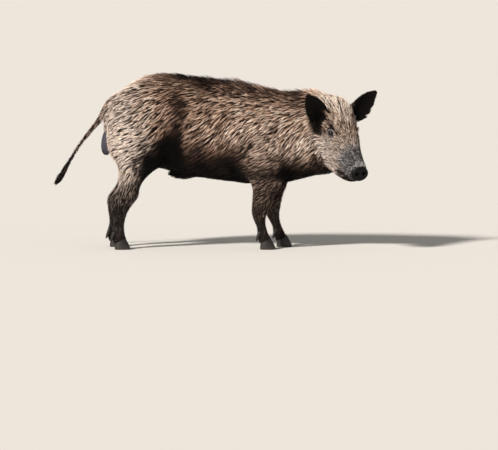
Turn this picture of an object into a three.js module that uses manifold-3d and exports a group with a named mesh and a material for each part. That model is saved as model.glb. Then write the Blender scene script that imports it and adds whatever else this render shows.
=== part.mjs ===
// A young male wild boar, standing still, with its head turned to its right.
// Millimetres. +X is the way the trunk points, +Y its left side, +Z up, and the floor is z = 0.
// Every surface runs out to the tips of the bristles.
import * as THREE from "three";
import { ParametricGeometry } from "three/addons/geometries/ParametricGeometry.js";
import { mergeVertices } from "three/addons/utils/BufferGeometryUtils.js";
import Module from "manifold-3d";

const wasm = await Module();
wasm.setup();

// ---------------------------------------------------------------- driving dimensions
const GAP = 0.4; // clearance between neighbouring pieces
const SIDES = { left: 1, right: -1 }; // the sign of y on each side of the body
const BEYOND = { x: 500, y: 400, z: 800 }; // farther than any part of the body, for the cuts across it

// Cross-sections of the trunk and neck, from the rump to the back of the head: place of the
// middle, heading in degrees, highest and lowest level, half width, the level of the greatest
// width as a share of the depth, and how much of the height is the mane on the spine.
const TRUNK_COLUMNS = ["x", "y", "heading", "top", "bottom", "half", "mid", "mane"];
const TRUNK = [
  [-386, 0, 0, 540, 470, 16, 0.5, 0],
  [-364, 0, 0, 594, 430, 52, 0.5, 2],
  [-325, 0, 0, 628, 375, 88, 0.5, 5],
  [-270, 0, 0, 663, 338, 113, 0.5, 7],
  [-205, 0, 0, 692, 324, 126, 0.48, 9],
  [-140, 0, 0, 701, 312, 129, 0.46, 10],
  [-70, 0, 0, 696, 288, 133, 0.45, 12],
  [10, 0, 0, 686, 280, 139, 0.44, 14],
  [100, 0, 0, 676, 269, 143, 0.44, 18],
  [190, 0, 0, 665, 258, 140, 0.44, 24],
  [270, -2, -3, 646, 254, 131, 0.44, 21],
  [340, -8, -9, 630, 262, 120, 0.44, 18],
  [400, -24, -20, 636, 276, 112, 0.44, 20],
  [450, -47, -32, 643, 290, 106, 0.45, 19],
  [492, -76, -42, 633, 297, 98, 0.46, 14],
  [524, -108, -48, 613, 306, 84, 0.48, 7],
];
const MANE_EDGE = 22; // how sharply the mane rises from the back
const ROUND = { upper: 1.06, lower: 0.9, cheek: 0.92, crown: 0.95 }; // above 1 a form is peaked, below 1 full

// Cross-sections of the legs at a level z: back and front edge, distance from the body's
// middle, and half width.
const LEG_COLUMNS = ["z", "back", "front", "out", "half"];
const FORE_LEG = [
  [600, 214, 292, 32, 22],
  [530, 172, 338, 60, 52],
  [445, 152, 362, 76, 59],
  [365, 164, 364, 84, 55],
  [300, 188, 346, 86, 46],
  [245, 208, 318, 85, 37],
  [205, 209, 294, 82, 32],
  [152, 205, 272, 79, 28],
  [118, 213, 264, 78, 24],
  [86, 226, 267, 77, 21],
  [58, 228, 277, 77, 25],
  [34, 234, 288, 77, 27],
  [12, 240, 290, 77, 24],
];
const HIND_LEG = [
  [620, -296, -212, 20, 22],
  [580, -326, -164, 42, 44],
  [520, -358, -138, 60, 60],
  [455, -372, -126, 69, 65],
  [390, -363, -130, 77, 61],
  [335, -332, -152, 82, 53],
  [295, -322, -204, 83, 44],
  [250, -328, -236, 83, 36],
  [208, -356, -244, 82, 31],
  [180, -360, -266, 81, 28],
  [145, -353, -288, 80, 24],
  [100, -346, -300, 79, 21],
  [60, -352, -298, 79, 25],
  [34, -348, -288, 79, 27],
  [12, -340, -286, 79, 24],
];
const STEP = { fore: 66, hind: -22, top: 480 }; // how far ahead the left feet stand, and from which level
// Where the legs part from the trunk.
const FORE_CUT = { back: 120, front: 430, inner: 40, outer: 220, level: 284 };
const HIND_CUT = { back: -460, front: -120, inner: 12, outer: 220, level: 338 };
const SCROTUM = { x: -366, z: 430, long: 29, wide: 33, tall: 60, dip: 12 };
const SHEATH = { x: -84, z: 294, long: 44, wide: 16, tall: 14, dip: 6 };

// The tail's centreline, with its half widths across the body and in the tail's own plane.
const TAIL_COLUMNS = ["x", "z", "across", "deep"];
const TAIL = [
  [-318, 596, 26, 24],
  [-360, 574, 21, 21],
  [-402, 513, 13, 13.5],
  [-444, 462, 9.5, 10.5],
  [-482, 411, 8.5, 9.5],
  [-516, 358, 8.5, 10],
  [-545, 307, 9, 13.5],
  [-567, 274, 8, 14],
  [-578, 260, 3, 8],
];
const TAIL_ROOT = { x: -372, z: 560, slope: 37, half: 60, long: 600 }; // the cut across the tail's root

// The head has a frame of its own, from the point midway between the eyes: forward along the
// mouth line, left, and up. It is turned right, dipped and tipped by these angles.
const HEAD = { x: 569, y: -172, z: 478, yaw: 60, pitch: 35, roll: 6 };
const HEAD_COLUMNS = ["forward", "top", "bottom", "half", "mid"];
const HEAD_SECTIONS = [
  [-172, 38, -40, 34, 0.5],
  [-150, 64, -80, 66, 0.48],
  [-116, 82, -122, 87, 0.44],
  [-82, 85, -148, 96, 0.4],
  [-46, 72, -166, 92, 0.44],
  [-12, 56, -177, 76, 0.55],
  [25, 38, -180, 68, 0.65],
  [60, 19, -178, 59, 0.63],
  [98, 2, -166, 50, 0.6],
  [132, -13, -150, 44, 0.6],
  [162, -25, -130, 40, 0.6],
  [180, -32, -112, 38, 0.55],
  [192, -38, -98, 35, 0.5],
];
// The planes where the head parts from the neck.
const NAPE = { forward: -112, front: 300, throat: -188, crown: 240, cheek: 102 };
const NOSE = { forward: 194, up: -66, lift: 18, half: 38, tall: 30, thick: 15, rim: 0.9 };
const NOSTRIL = { radius: 8, inner: 5.6, out: 15, deep: 11 };
const EYE = { out: 53, radius: 12.5 };
const BROW = { forward: 18, out: 46, up: 10, long: 27, wide: 17, tall: 15 }; // the ridge over each eye
const SOCKET = { forward: 4, out: 76, up: 1, long: 27, deep: 21, tall: 21 }; // the hollow an eye sits in
// The line between the jaws, and the box under it that parts the lower jaw.
const MOUTH = { corner: 84, level: -96, rise: 3, long: 160, half: 100, deep: 80 };
const SHOULDER = { x: 318, lean: -14 }; // the plane where the neck parts from the trunk
const EAR = {
  root: { forward: -67, out: 66, up: 30 },
  left: { along: { forward: -4, out: 97, up: 89 }, hollow: { forward: 1, out: -0.15, up: 0.3 } },
  right: { along: { forward: -17, out: 92, up: 112 }, hollow: { forward: 1, out: 0.3, up: 0.05 } },
  length: 131, // along each ear from its root to its tip
  half: 47,
  outer: { root: 0.8, full: 1.16, at: 0.26, from: 0.3, tip: 0.1, power: 1.7 }, // edge away from the crown
  inner: { root: 0.45, full: 0.92, at: 0.5, from: 0.45, tip: 0.1, power: 2 }, // edge next to the crown
  cup: 26, // how much deeper the hollow is than its edges, at the root
  flatten: 0.75, // how much of the cup is gone at the tip
  rest: 0.35, // the share of the cup that lies in front of the root
  curl: 10, // how far back the tip bends
  thick: 5,
  buried: 16, // how far the ear runs down below its root
};

// A foot: a pair of main claws under the hair line, and a pair of dewclaws behind.
const CLAW = { long: 62, half: 14, spread: 14.8, coronet: 35, slant: 20, narrow: 0.28 };
const CLAW_COLUMNS = ["z", "back", "front", "half"];
const CLAW_SHAPE = [
  [0, 2, 60, 11.8],
  [5, 0, 62, 13.6],
  [22, 2, 55, 14],
  [40, 7, 45, 13.3],
  [58, 12, 36, 12.3],
];
const DEWCLAW = { top: 72, tip: 34, back: 7, behind: 8, spread: 17, half: 7, taper: 0.55 };

const COLOURS = {
  brown: 0x6e5a4a,
  neck: 0x76614e,
  face: 0x6a5c50,
  leg: 0x4a3f38,
  tail: 0x3a332f,
  ear: 0x4c3f37,
  nose: 0x26242a,
  horn: 0x1f1b19,
  eye: 0x120c08,
};

// ---------------------------------------------------------------- small maths
const { sin, cos, abs, sign, min, max, PI } = Math;
const radians = THREE.MathUtils.degToRad;
const clamp01 = (t) => min(1, max(0, t));
const eased = (t) => clamp01(t) ** 2 * (3 - 2 * clamp01(t));
const power = (value, exponent) => sign(value) * abs(value) ** exponent;

// A table's row at t from 0 to 1: cubic Hermite pieces, with slopes from the rows on each side.
function rowAt(table, columns, t) {
  const last = table.length - 1;
  const k = min(last - 1, Math.floor(t * last));
  const f = t * last - k;
  const row = (i) => table[min(last, max(0, i))];
  const slope = (i, c) => (row(i + 1)[c] - row(i - 1)[c]) / (i > 0 && i < last ? 2 : 1);
  const at = (c) =>
    (2 * f ** 3 - 3 * f ** 2 + 1) * row(k)[c] +
    (f ** 3 - 2 * f ** 2 + f) * slope(k, c) +
    (3 * f ** 2 - 2 * f ** 3) * row(k + 1)[c] +
    (f ** 3 - f ** 2) * slope(k + 1, c);
  return Object.fromEntries(columns.map((name, c) => [name, at(c)]));
}

// ---------------------------------------------------------------- solids
// The solid inside a closed geometry. Triangles that a closed end has shrunk to nothing go.
function solidOf(geometry) {
  const bare = geometry.clone();
  for (const name of ["normal", "uv"]) bare.deleteAttribute(name);
  const merged = mergeVertices(bare, 1e-3);
  const faces = [];
  for (let i = 0; i < merged.index.count; i += 3) {
    const [a, b, c] = merged.index.array.slice(i, i + 3);
    if (a !== b && b !== c && c !== a) faces.push([a, b, c]);
  }
  const build = (triangles) => {
    const vertProperties = merged.attributes.position.array;
    const triVerts = new Uint32Array(triangles.flat());
    return new wasm.Manifold(new wasm.Mesh({ numProp: 3, vertProperties, triVerts }));
  };
  const made = build(faces);
  return made.volume() > 0 ? made : build(faces.map(([a, b, c]) => [a, c, b]));
}

// A closed skin over place(turn, along, open): rings of the given number of sides, with a fan
// on the centre of the first and the last ring, where open is 0.
function skinned(place, sides, rings) {
  const stacks = rings + 1;
  const surface = (u, v, target) => {
    const row = Math.round(v * stacks);
    const open = row > 0 && row < stacks ? 1 : 0;
    target.copy(place((u * 2 * PI) % (2 * PI), clamp01((row - 1) / (rings - 1)), open));
  };
  return solidOf(new ParametricGeometry(surface, sides, stacks));
}

// The box between two corners, placed by a matrix.
function region(low, high, matrix = new THREE.Matrix4()) {
  const box = new THREE.BoxGeometry(...high.map((h, i) => h - low[i]));
  box.translate(...high.map((h, i) => (h + low[i]) / 2));
  return solidOf(box.applyMatrix4(matrix));
}

// The part of a solid inside a box and the part outside it, with a gap between them.
function parted(solid, low, high, matrix) {
  const wide = region(low.map((v) => v - GAP), high.map((v) => v + GAP), matrix);
  return [solid.intersect(region(low, high, matrix)), solid.subtract(wide)];
}

// ---------------------------------------------------------------- trunk and neck
function trunkSkin() {
  const place = (turn, along, open) => {
    const r = rowAt(TRUNK, TRUNK_COLUMNS, along);
    const [c, s] = [cos(turn) * open, sin(turn) * open];
    const middle = r.bottom + (r.top - r.bottom) * r.mid;
    const side = r.half * power(c, s > 0 ? ROUND.upper : ROUND.lower);
    const back = (r.top - r.mane - middle) * s + r.mane * max(0, s) ** MANE_EDGE;
    const level = middle + (s > 0 ? back : (middle - r.bottom) * s);
    const heading = radians(r.heading);
    return new THREE.Vector3(r.x - side * sin(heading), r.y + side * cos(heading), level);
  };
  return skinned(place, 24, 24);
}

// A closed egg, for the small swellings of the belly and rump.
function egg({ x, z, long, wide, tall, dip }) {
  const ball = new THREE.SphereGeometry(1, 10, 7).scale(long, wide, tall);
  return solidOf(ball.rotateY(radians(dip)).translate(x, 0, z));
}

// ---------------------------------------------------------------- legs
const stepOf = (leg, side) => (side === SIDES.left ? STEP[leg] : 0);

function legSkin(leg, side, grow = 0) {
  const table = leg === "fore" ? FORE_LEG : HIND_LEG;
  const place = (turn, along, open) => {
    const r = rowAt(table, LEG_COLUMNS, along);
    const shift = stepOf(leg, side) * (1 - eased(r.z / STEP.top));
    const reach = (r.front - r.back) / 2 + grow;
    const x = (r.front + r.back) / 2 + shift + reach * cos(turn) * open;
    return new THREE.Vector3(x, side * (r.out + (r.half + grow) * sin(turn) * open), r.z);
  };
  return skinned(place, 14, 16);
}

// All that lies below the hair line of a foot, a slanting plane that is higher at the toe.
function underCoronet(heel, down) {
  const tilt = new THREE.Matrix4().makeRotationY(-radians(CLAW.slant));
  tilt.setPosition(heel + CLAW.long / 2, 0, CLAW.coronet);
  return region([-1.5 * CLAW.long, -BEYOND.y, -2 * CLAW.coronet], [1.5 * CLAW.long, BEYOND.y, -down], tilt);
}

// One main claw: a flat sole with a bevelled edge, and a toe that slopes back to the coronet.
function clawSkin(heel, out, side) {
  const place = (turn, along, open) => {
    const r = rowAt(CLAW_SHAPE, CLAW_COLUMNS, along);
    const [c, s] = [cos(turn) * open, sin(turn) * open];
    const x = heel + (r.front + r.back) / 2 + ((r.front - r.back) / 2) * c;
    const narrow = 1 - CLAW.narrow * max(0, c) ** 2;
    return new THREE.Vector3(x, side * (out + r.half * s * narrow), max(0, r.z));
  };
  return skinned(place, 11, 5);
}

// A dewclaw: a blunt cone behind the pastern, pointing down and back.
function dewclawSkin(heel, out, side) {
  const place = (turn, along, open) => {
    const round = DEWCLAW.half * (1 - DEWCLAW.taper * along ** 2) * open;
    const x = heel - (DEWCLAW.behind + DEWCLAW.back) * along + round * cos(turn);
    const z = DEWCLAW.top + (DEWCLAW.tip - DEWCLAW.top) * along;
    return new THREE.Vector3(x, side * (out + round * sin(turn)), z);
  };
  return skinned(place, 6, 3);
}

// ---------------------------------------------------------------- tail
function tailSkin(grow = 0) {
  const point = (t) => rowAt(TAIL, TAIL_COLUMNS, clamp01(t));
  const place = (turn, along, open) => {
    const r = point(along);
    const [a, b] = [point(along - 0.01), point(along + 0.01)];
    const out = new THREE.Vector3(a.z - b.z, 0, b.x - a.x).normalize();
    out.multiplyScalar((r.deep + grow) * cos(turn) * open);
    return new THREE.Vector3(r.x + out.x, (r.across + grow) * sin(turn) * open, r.z + out.z);
  };
  const slope = new THREE.Matrix4().makeRotationY(radians(TAIL_ROOT.slope));
  slope.setPosition(TAIL_ROOT.x + grow, 0, TAIL_ROOT.z + grow);
  const { half, long } = TAIL_ROOT;
  return skinned(place, 10, 15).intersect(region([-half, -half, -long], [half, half, 0], slope));
}

// ---------------------------------------------------------------- head
const turned = new THREE.Euler(radians(HEAD.roll), radians(HEAD.pitch), -radians(HEAD.yaw), "ZYX");
const headFrame = new THREE.Matrix4().makeRotationFromEuler(turned).setPosition(HEAD.x, HEAD.y, HEAD.z);

// A frame on the head: forward, left and up from the eyes, and lifted by an angle.
function onHead(forward, left, up, lift) {
  const local = new THREE.Matrix4().makeRotationY(-radians(lift)).setPosition(forward, left, up);
  return local.premultiply(headFrame);
}

function headSkin() {
  const place = (turn, along, open) => {
    const r = rowAt(HEAD_SECTIONS, HEAD_COLUMNS, along);
    const [c, s] = [cos(turn) * open, sin(turn) * open];
    const middle = r.bottom + (r.top - r.bottom) * r.mid;
    const side = r.half * power(c, ROUND.cheek);
    const level = middle + (s > 0 ? r.top - middle : middle - r.bottom) * power(s, ROUND.crown);
    return new THREE.Vector3(r.forward, side, level).applyMatrix4(headFrame);
  };
  return skinned(place, 22, 20);
}

// The nose disc: a thick plate with a rounded rim, lifted above the mouth line.
const noseFrame = onHead(NOSE.forward, 0, NOSE.up, NOSE.lift);
function noseSkin(grow) {
  const [back, front] = [-NOSE.thick / 2 - grow, NOSE.thick / 2];
  const profile = [[0, back], [NOSE.rim, back], [1, back / 2], [1, front / 2], [NOSE.rim, front], [0, front]];
  const disc = new THREE.LatheGeometry(profile.map(([r, h]) => new THREE.Vector2(r, h)), 18);
  disc.rotateZ(-PI / 2).scale(1, NOSE.half + grow, NOSE.tall + grow);
  return solidOf(disc.applyMatrix4(noseFrame));
}

function nostril(side) {
  const hole = new THREE.CylinderGeometry(NOSTRIL.radius, NOSTRIL.inner, 2 * NOSTRIL.deep, 8);
  hole.rotateZ(-PI / 2).translate(NOSE.thick / 2, side * NOSTRIL.out, 0);
  return solidOf(hole.applyMatrix4(noseFrame));
}

function eyeball(side, grow = 0) {
  const ball = new THREE.SphereGeometry(EYE.radius + grow, 12, 8).translate(0, side * EYE.out, 0);
  return solidOf(ball.applyMatrix4(headFrame));
}

function brow(side) {
  const ridge = new THREE.SphereGeometry(1, 12, 8).scale(BROW.long, BROW.wide, BROW.tall);
  return solidOf(ridge.translate(BROW.forward, side * BROW.out, BROW.up).applyMatrix4(headFrame));
}

function socket(side) {
  const hollow = new THREE.SphereGeometry(1, 12, 8).scale(SOCKET.long, SOCKET.deep, SOCKET.tall);
  return solidOf(hollow.translate(SOCKET.forward, side * SOCKET.out, SOCKET.up).applyMatrix4(headFrame));
}

// An ear's own frame: root at the origin, +X the way its hollow faces, +Z along it to the tip.
function earFrame(side) {
  const onSide = ({ forward, out, up }) => new THREE.Vector3(forward, side * out, up);
  const set = side === SIDES.left ? EAR.left : EAR.right;
  const along = onSide(set.along).normalize();
  const facing = onSide(set.hollow);
  facing.addScaledVector(along, -facing.dot(along)).normalize();
  const across = new THREE.Vector3().crossVectors(along, facing);
  const local = new THREE.Matrix4().makeBasis(facing, across, along).setPosition(onSide(EAR.root));
  return local.premultiply(headFrame);
}

// The half width of one edge of the ear as a share of EAR.half, at t from the root to the tip:
// it swells from the root to its fullest, then draws in to the tip.
function earWidth({ root, full, at, from, tip, power: sharpness }, t) {
  const swell = root + (full - root) * sin(min(1, t / at) * (PI / 2));
  return swell - (full - tip) * clamp01((t - from) / (1 - from)) ** sharpness;
}

function earSkin(side, grow = 0) {
  const frame = earFrame(side);
  const place = (turn, along, open) => {
    const z = -EAR.buried - grow + (EAR.length + EAR.buried + 2 * grow) * along;
    const edge = side * cos(turn) > 0 ? EAR.outer : EAR.inner;
    const across = (EAR.half * earWidth(edge, along) + grow) * cos(turn) * open;
    const cup = EAR.cup * (1 - EAR.flatten * along) * ((across / EAR.half) ** 2 - EAR.rest);
    const hollow = cup - EAR.curl * along ** 2;
    const face = (EAR.thick + grow) * sin(turn) * open;
    return new THREE.Vector3(hollow + face, across, z).applyMatrix4(frame);
  };
  return skinned(place, 18, 10);
}

// ---------------------------------------------------------------- the whole animal, parted
function boar() {
  const nodes = {};
  let body = trunkSkin().add(headSkin()).add(egg(SCROTUM)).add(egg(SHEATH));
  body = body.add(brow(SIDES.left)).add(brow(SIDES.right));
  const feet = Object.entries(SIDES).flatMap(([name, side]) => [
    { name, side, leg: "fore", cut: FORE_CUT, table: FORE_LEG },
    { name, side, leg: "hind", cut: HIND_CUT, table: HIND_LEG },
  ]);
  for (const { side, leg } of feet) body = body.add(legSkin(leg, side));

  // Claws and dewclaws, then the legs above them
  for (const { name, side, leg, cut, table } of feet) {
    const sole = table.at(-1);
    const heel = sole[1] + stepOf(leg, side);
    for (const [place, offset] of [["outer", 1], ["inner", -1]]) {
      const claw = clawSkin(heel, sole[3] + offset * CLAW.spread, side);
      nodes[`claw_${leg}_${name}_${place}`] = claw.intersect(underCoronet(heel, GAP));
      const dewclaw = dewclawSkin(heel, sole[3] + offset * DEWCLAW.spread, side);
      nodes[`dewclaw_${leg}_${name}_${place}`] = dewclaw.subtract(legSkin(leg, side, GAP));
    }
    const [near, far] = side === SIDES.left ? [cut.inner, cut.outer] : [-cut.outer, -cut.inner];
    const [whole, rest] = parted(body, [cut.back, near, -CLAW.coronet], [cut.front, far, cut.level]);
    nodes[`${leg}_leg_${name}`] = whole.subtract(underCoronet(heel, 0));
    body = rest;
  }

  nodes.tail = tailSkin();
  body = body.subtract(tailSkin(GAP));
  let head;
  const headBox = [[NAPE.forward, -NAPE.cheek, NAPE.throat], [NAPE.front, NAPE.cheek, NAPE.crown]];
  [head, body] = parted(body, ...headBox, headFrame);
  for (const [name, side] of Object.entries(SIDES)) {
    nodes[`ear_${name}`] = earSkin(side);
    nodes[`eye_${name}`] = eyeball(side);
    head = head.subtract(socket(side)).subtract(earSkin(side, GAP)).subtract(eyeball(side, GAP));
    body = body.subtract(earSkin(side, GAP));
  }
  nodes.nose_disc = noseSkin(0).subtract(nostril(SIDES.left)).subtract(nostril(SIDES.right));
  head = head.subtract(noseSkin(GAP));
  const mouth = onHead(MOUTH.corner, 0, MOUTH.level, MOUTH.rise);
  const underMouth = [[0, -MOUTH.half, -MOUTH.deep], [MOUTH.long, MOUTH.half, 0]];
  [nodes.lower_jaw, nodes.head] = parted(head, ...underMouth, mouth);
  const shoulder = new THREE.Matrix4().makeRotationY(radians(SHOULDER.lean)).setPosition(SHOULDER.x, 0, 0);
  const ahead = [[0, -BEYOND.y, -BEYOND.z], [BEYOND.x, BEYOND.y, BEYOND.z]];
  [nodes.neck, nodes.trunk] = parted(body, ...ahead, shoulder);
  return nodes;
}

// ---------------------------------------------------------------- nodes and materials
function finish(name, color, roughness) {
  return new THREE.MeshStandardMaterial({ name, color, roughness, metalness: 0 });
}

const MATERIALS = {
  trunk: finish("coat_trunk", COLOURS.brown, 0.85),
  neck: finish("coat_neck", COLOURS.neck, 0.85),
  head: finish("coat_head", COLOURS.face, 0.85),
  lower: finish("coat_jaw", COLOURS.face, 0.85),
  fore: finish("coat_leg", COLOURS.leg, 0.85),
  hind: finish("coat_leg", COLOURS.leg, 0.85),
  tail: finish("coat_tail", COLOURS.tail, 0.85),
  ear: finish("coat_ear", COLOURS.ear, 0.8),
  nose: finish("nose_skin", COLOURS.nose, 0.5),
  claw: finish("claw_horn", COLOURS.horn, 0.45),
  dewclaw: finish("claw_horn", COLOURS.horn, 0.45),
  eye: finish("eye", COLOURS.eye, 0.12),
};

const animal = new THREE.Group();
animal.name = "wild_boar";
for (const [name, solid] of Object.entries(boar())) {
  const { vertProperties, triVerts } = solid.getMesh();
  const geometry = new THREE.BufferGeometry();
  geometry.setAttribute("position", new THREE.BufferAttribute(vertProperties, 3));
  geometry.setIndex(new THREE.BufferAttribute(triVerts, 1));
  geometry.computeVertexNormals();
  const mesh = new THREE.Mesh(geometry, MATERIALS[name.split("_")[0]]);
  mesh.name = name;
  animal.add(mesh);
}

// The origin is under the middle of the whole animal, on the floor.
const middle = new THREE.Box3().setFromObject(animal).getCenter(new THREE.Vector3());
for (const mesh of animal.children) mesh.geometry.translate(-middle.x, -middle.y, 0);

export default animal;
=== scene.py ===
"""A life-size, still wild boar: one skin with eyes and claws, under a coat of bristle tufts.

Body sizes are in millimetres in the body's own layout, whose x runs the way the trunk points,
y to its left and z up from the floor. Body.placed() turns them into metres in the part's frame.
"""

import itertools
import logging
import math
from dataclasses import dataclass, field
from enum import Enum
from functools import partial
from typing import Any, Callable, Sequence

import bmesh
import bpy
import numpy as np
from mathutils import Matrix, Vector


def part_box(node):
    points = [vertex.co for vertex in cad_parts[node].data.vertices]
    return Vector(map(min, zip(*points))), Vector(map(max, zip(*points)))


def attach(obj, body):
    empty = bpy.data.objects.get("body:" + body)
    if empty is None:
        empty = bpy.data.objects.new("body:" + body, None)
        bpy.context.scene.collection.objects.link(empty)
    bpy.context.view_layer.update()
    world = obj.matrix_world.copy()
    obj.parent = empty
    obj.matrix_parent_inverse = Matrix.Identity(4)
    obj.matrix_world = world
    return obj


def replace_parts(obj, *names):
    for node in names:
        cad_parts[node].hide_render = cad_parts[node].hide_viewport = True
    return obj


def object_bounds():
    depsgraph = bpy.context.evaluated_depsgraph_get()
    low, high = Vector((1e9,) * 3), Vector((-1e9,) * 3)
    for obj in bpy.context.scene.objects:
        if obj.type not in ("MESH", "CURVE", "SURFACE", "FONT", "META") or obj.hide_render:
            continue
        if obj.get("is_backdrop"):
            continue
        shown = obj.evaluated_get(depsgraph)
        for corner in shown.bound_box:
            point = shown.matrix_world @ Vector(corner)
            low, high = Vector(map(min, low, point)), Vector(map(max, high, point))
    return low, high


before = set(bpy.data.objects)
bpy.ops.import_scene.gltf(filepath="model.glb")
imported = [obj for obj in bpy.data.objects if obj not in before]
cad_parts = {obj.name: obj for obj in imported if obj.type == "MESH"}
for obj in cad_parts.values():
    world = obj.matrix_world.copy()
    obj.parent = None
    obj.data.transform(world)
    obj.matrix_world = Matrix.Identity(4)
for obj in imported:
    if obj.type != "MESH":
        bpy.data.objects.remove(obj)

import openvdb
from mathutils import Vector

Array = np.ndarray
Triple = tuple[float, float, float]
Field = Callable[[Array], Array]  # gives a value for each point
log = logging.getLogger("boar")
MM = 0.001  # metres in a millimetre
SEED = 1541
HORN_RING = 4.1  # mm between growth rings of a claw
FAR = 40.0  # mm, the distance to flesh where none is near
SIDES = {"left": 1, "right": -1}  # the sign of y on each side of the body


# ---- small maths
def srgb(code: str) -> Array:
    """Linear red, green and blue of an sRGB hex colour such as 8a6f5c."""
    share = np.array([int(code[i : i + 2], 16) for i in (0, 2, 4)]) / 255
    return np.where(share <= 0.04045, share / 12.92, ((share + 0.055) / 1.055) ** 2.4)


def eased(value: Array, start: float, end: float) -> Array:
    """Rises from 0 at start to 1 at end, flat at both: 3t² − 2t³ of the share of the way t."""
    t = np.clip((np.asarray(value, float) - start) / (end - start), 0, 1)
    return t * t * (3 - 2 * t)


def hill(value: Array, middle: float, reach: float) -> Array:
    """A bell that is 1 at the middle: e to the minus square of the distance in reaches."""
    return np.exp(-(((np.asarray(value, float) - middle) / reach) ** 2))


def stacked(*columns: Array | float) -> Array:
    """Columns side by side, so that each row is a point; a number fills its whole column."""
    return np.stack(np.broadcast_arrays(*columns), -1)


def turning(axis: int, degrees: float) -> Array:
    """A turning matrix: cosines on the diagonal, plus and minus the sine beside them."""
    c, s = math.cos(math.radians(degrees)), math.sin(math.radians(degrees))
    return np.roll([[c, -s, 0], [s, c, 0], [0, 0, 1]], (axis + 1, axis + 1), (0, 1))


def power(value: Array, exponent: float) -> Array:
    """A power that keeps the sign."""
    return np.sign(value) * np.abs(value) ** exponent


def unit(vectors: Array) -> Array:
    """Each row brought to length one."""
    return vectors / np.maximum(np.linalg.norm(vectors, axis=-1, keepdims=True), 1e-9)


def mixed(first: Array, second: Array, share: Array) -> Array:
    """Goes from the first to the second rows by a share for each row."""
    share = np.asarray(share)[..., None]
    return first * (1 - share) + second * share


def joined_softly(first: Array, second: Array, reach: float) -> Array:
    """Joins two distances: the smaller, less (reach − their difference)² / 4 reach where they are close."""
    close = np.maximum(reach - np.abs(first - second), 0)
    return np.minimum(first, second) - close * close / (4 * reach)


def read_between(values: Array, place: Array) -> Array:
    """Reads a block of values between its cells, from the eight nearest, each by its closeness.

    Args:
        values: The block, with three axes.
        place: Places in cells, one row each.

    Returns:
        One value for each place.
    """
    place = np.clip(place, 0, np.array(values.shape) - 1.001)
    cell = place.astype(int)
    part = place - cell
    total = np.zeros(len(place))
    for corner in itertools.product((0, 1), repeat=3):
        weight = np.prod(np.where(corner, part, 1 - part), axis=1)
        total += weight * values[tuple((cell + corner).T)]
    return total


def waves(points: Array, length: float, seed: int, count: int = 5) -> Array:
    """A smooth random field: the mean of sines along random directions, about one length each.

    Args:
        points: Places, one row each.
        length: The usual distance from crest to crest.
        seed: Picks the directions.
        count: How many sines.

    Returns:
        A value from about −1 to 1 for each place.
    """
    draw = np.random.default_rng(seed)
    ways = unit(draw.normal(size=(count, 3))) * draw.uniform(0.6, 1.5, (count, 1)) / length
    phase = draw.uniform(0, 2 * np.pi, count)
    return np.sin(2 * np.pi * points @ ways.T + phase).mean(1) * 1.6


# ---- shells and tables
@dataclass
class Shell:
    """Points with the four-sided and three-sided faces between them."""

    points: Array
    quads: Array = field(default_factory=lambda: np.zeros((0, 4), int))
    triangles: Array = field(default_factory=lambda: np.zeros((0, 3), int))

    @staticmethod
    def joined(shells: Sequence["Shell"]) -> "Shell":
        """Several shells as one, each keeping its own points."""
        starts = np.cumsum([0] + [len(s.points) for s in shells[:-1]])
        parts = [(s.points, s.quads + n, s.triangles + n) for s, n in zip(shells, starts)]
        return Shell(*(np.concatenate(rows) for rows in zip(*parts)))

    def turned_out(self) -> "Shell":
        """The shell with its faces pointing outwards, judged by the volume that they enclose."""
        corners = [self.points[self.quads[:, i]] for i in range(4)]
        volume = np.einsum("ij,ij->", corners[0], np.cross(corners[1], corners[2]))
        volume += np.einsum("ij,ij->", corners[0], np.cross(corners[2], corners[3]))
        if volume < 0:
            return Shell(self.points, self.quads[:, ::-1], self.triangles[:, ::-1])
        return self


def tube(place: Callable[[Array, Array], Array], sides: int, rings: int) -> Shell:
    """A closed skin over rings: each ring joined to the next by quads, each end by a fan to its middle.

    Args:
        place: Gives a point for a turn from 0 to 2π and a place along from 0 to 1.
        sides: Points round each ring.
        rings: How many rings.

    Returns:
        The closed shell, facing outwards.
    """
    turn, along = np.meshgrid(np.arange(sides) * 2 * np.pi / sides, np.linspace(0, 1, rings))
    points = place(turn.ravel(), along.ravel())
    index = np.arange(sides * rings).reshape(rings, sides)
    after = np.roll(index, -1, axis=1)
    quads = stacked(index[:-1], after[:-1], after[1:], index[1:]).reshape(-1, 4)
    ends = [points[index[row]].mean(0) for row in (0, -1)]
    caps = [stacked(len(points), after[0], index[0]), stacked(len(points) + 1, index[-1], after[-1])]
    return Shell(np.vstack([points, *ends]), quads, np.vstack(caps)).turned_out()


@dataclass(frozen=True)
class Sections:
    """A table of cross-sections, read between its rows by smooth cubic pieces."""

    rows: tuple[tuple[float, ...], ...]

    def columns(self, *numbers: int) -> Array:
        """The chosen columns, one row each."""
        return np.array(self.rows)[:, numbers].T

    def at(self, along: Array) -> tuple[Array, ...]:
        """Reads every column at places along, with each slope from the rows on both sides.

        Args:
            along: Places from 0 at the first row to 1 at the last.

        Returns:
            One array for each column.
        """
        table = np.array(self.rows, float)
        slope = np.gradient(table, axis=0)
        last = len(table) - 1
        place = np.clip(along, 0, 1) * last
        row = np.minimum(place.astype(int), last - 1)
        f = (place - row)[:, None]
        value = (2 * f**3 - 3 * f**2 + 1) * table[row] + (3 * f**2 - 2 * f**3) * table[row + 1]
        value += (f**3 - 2 * f**2 + f) * slope[row] + (f**3 - f**2) * slope[row + 1]
        return tuple(value.T)


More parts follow.
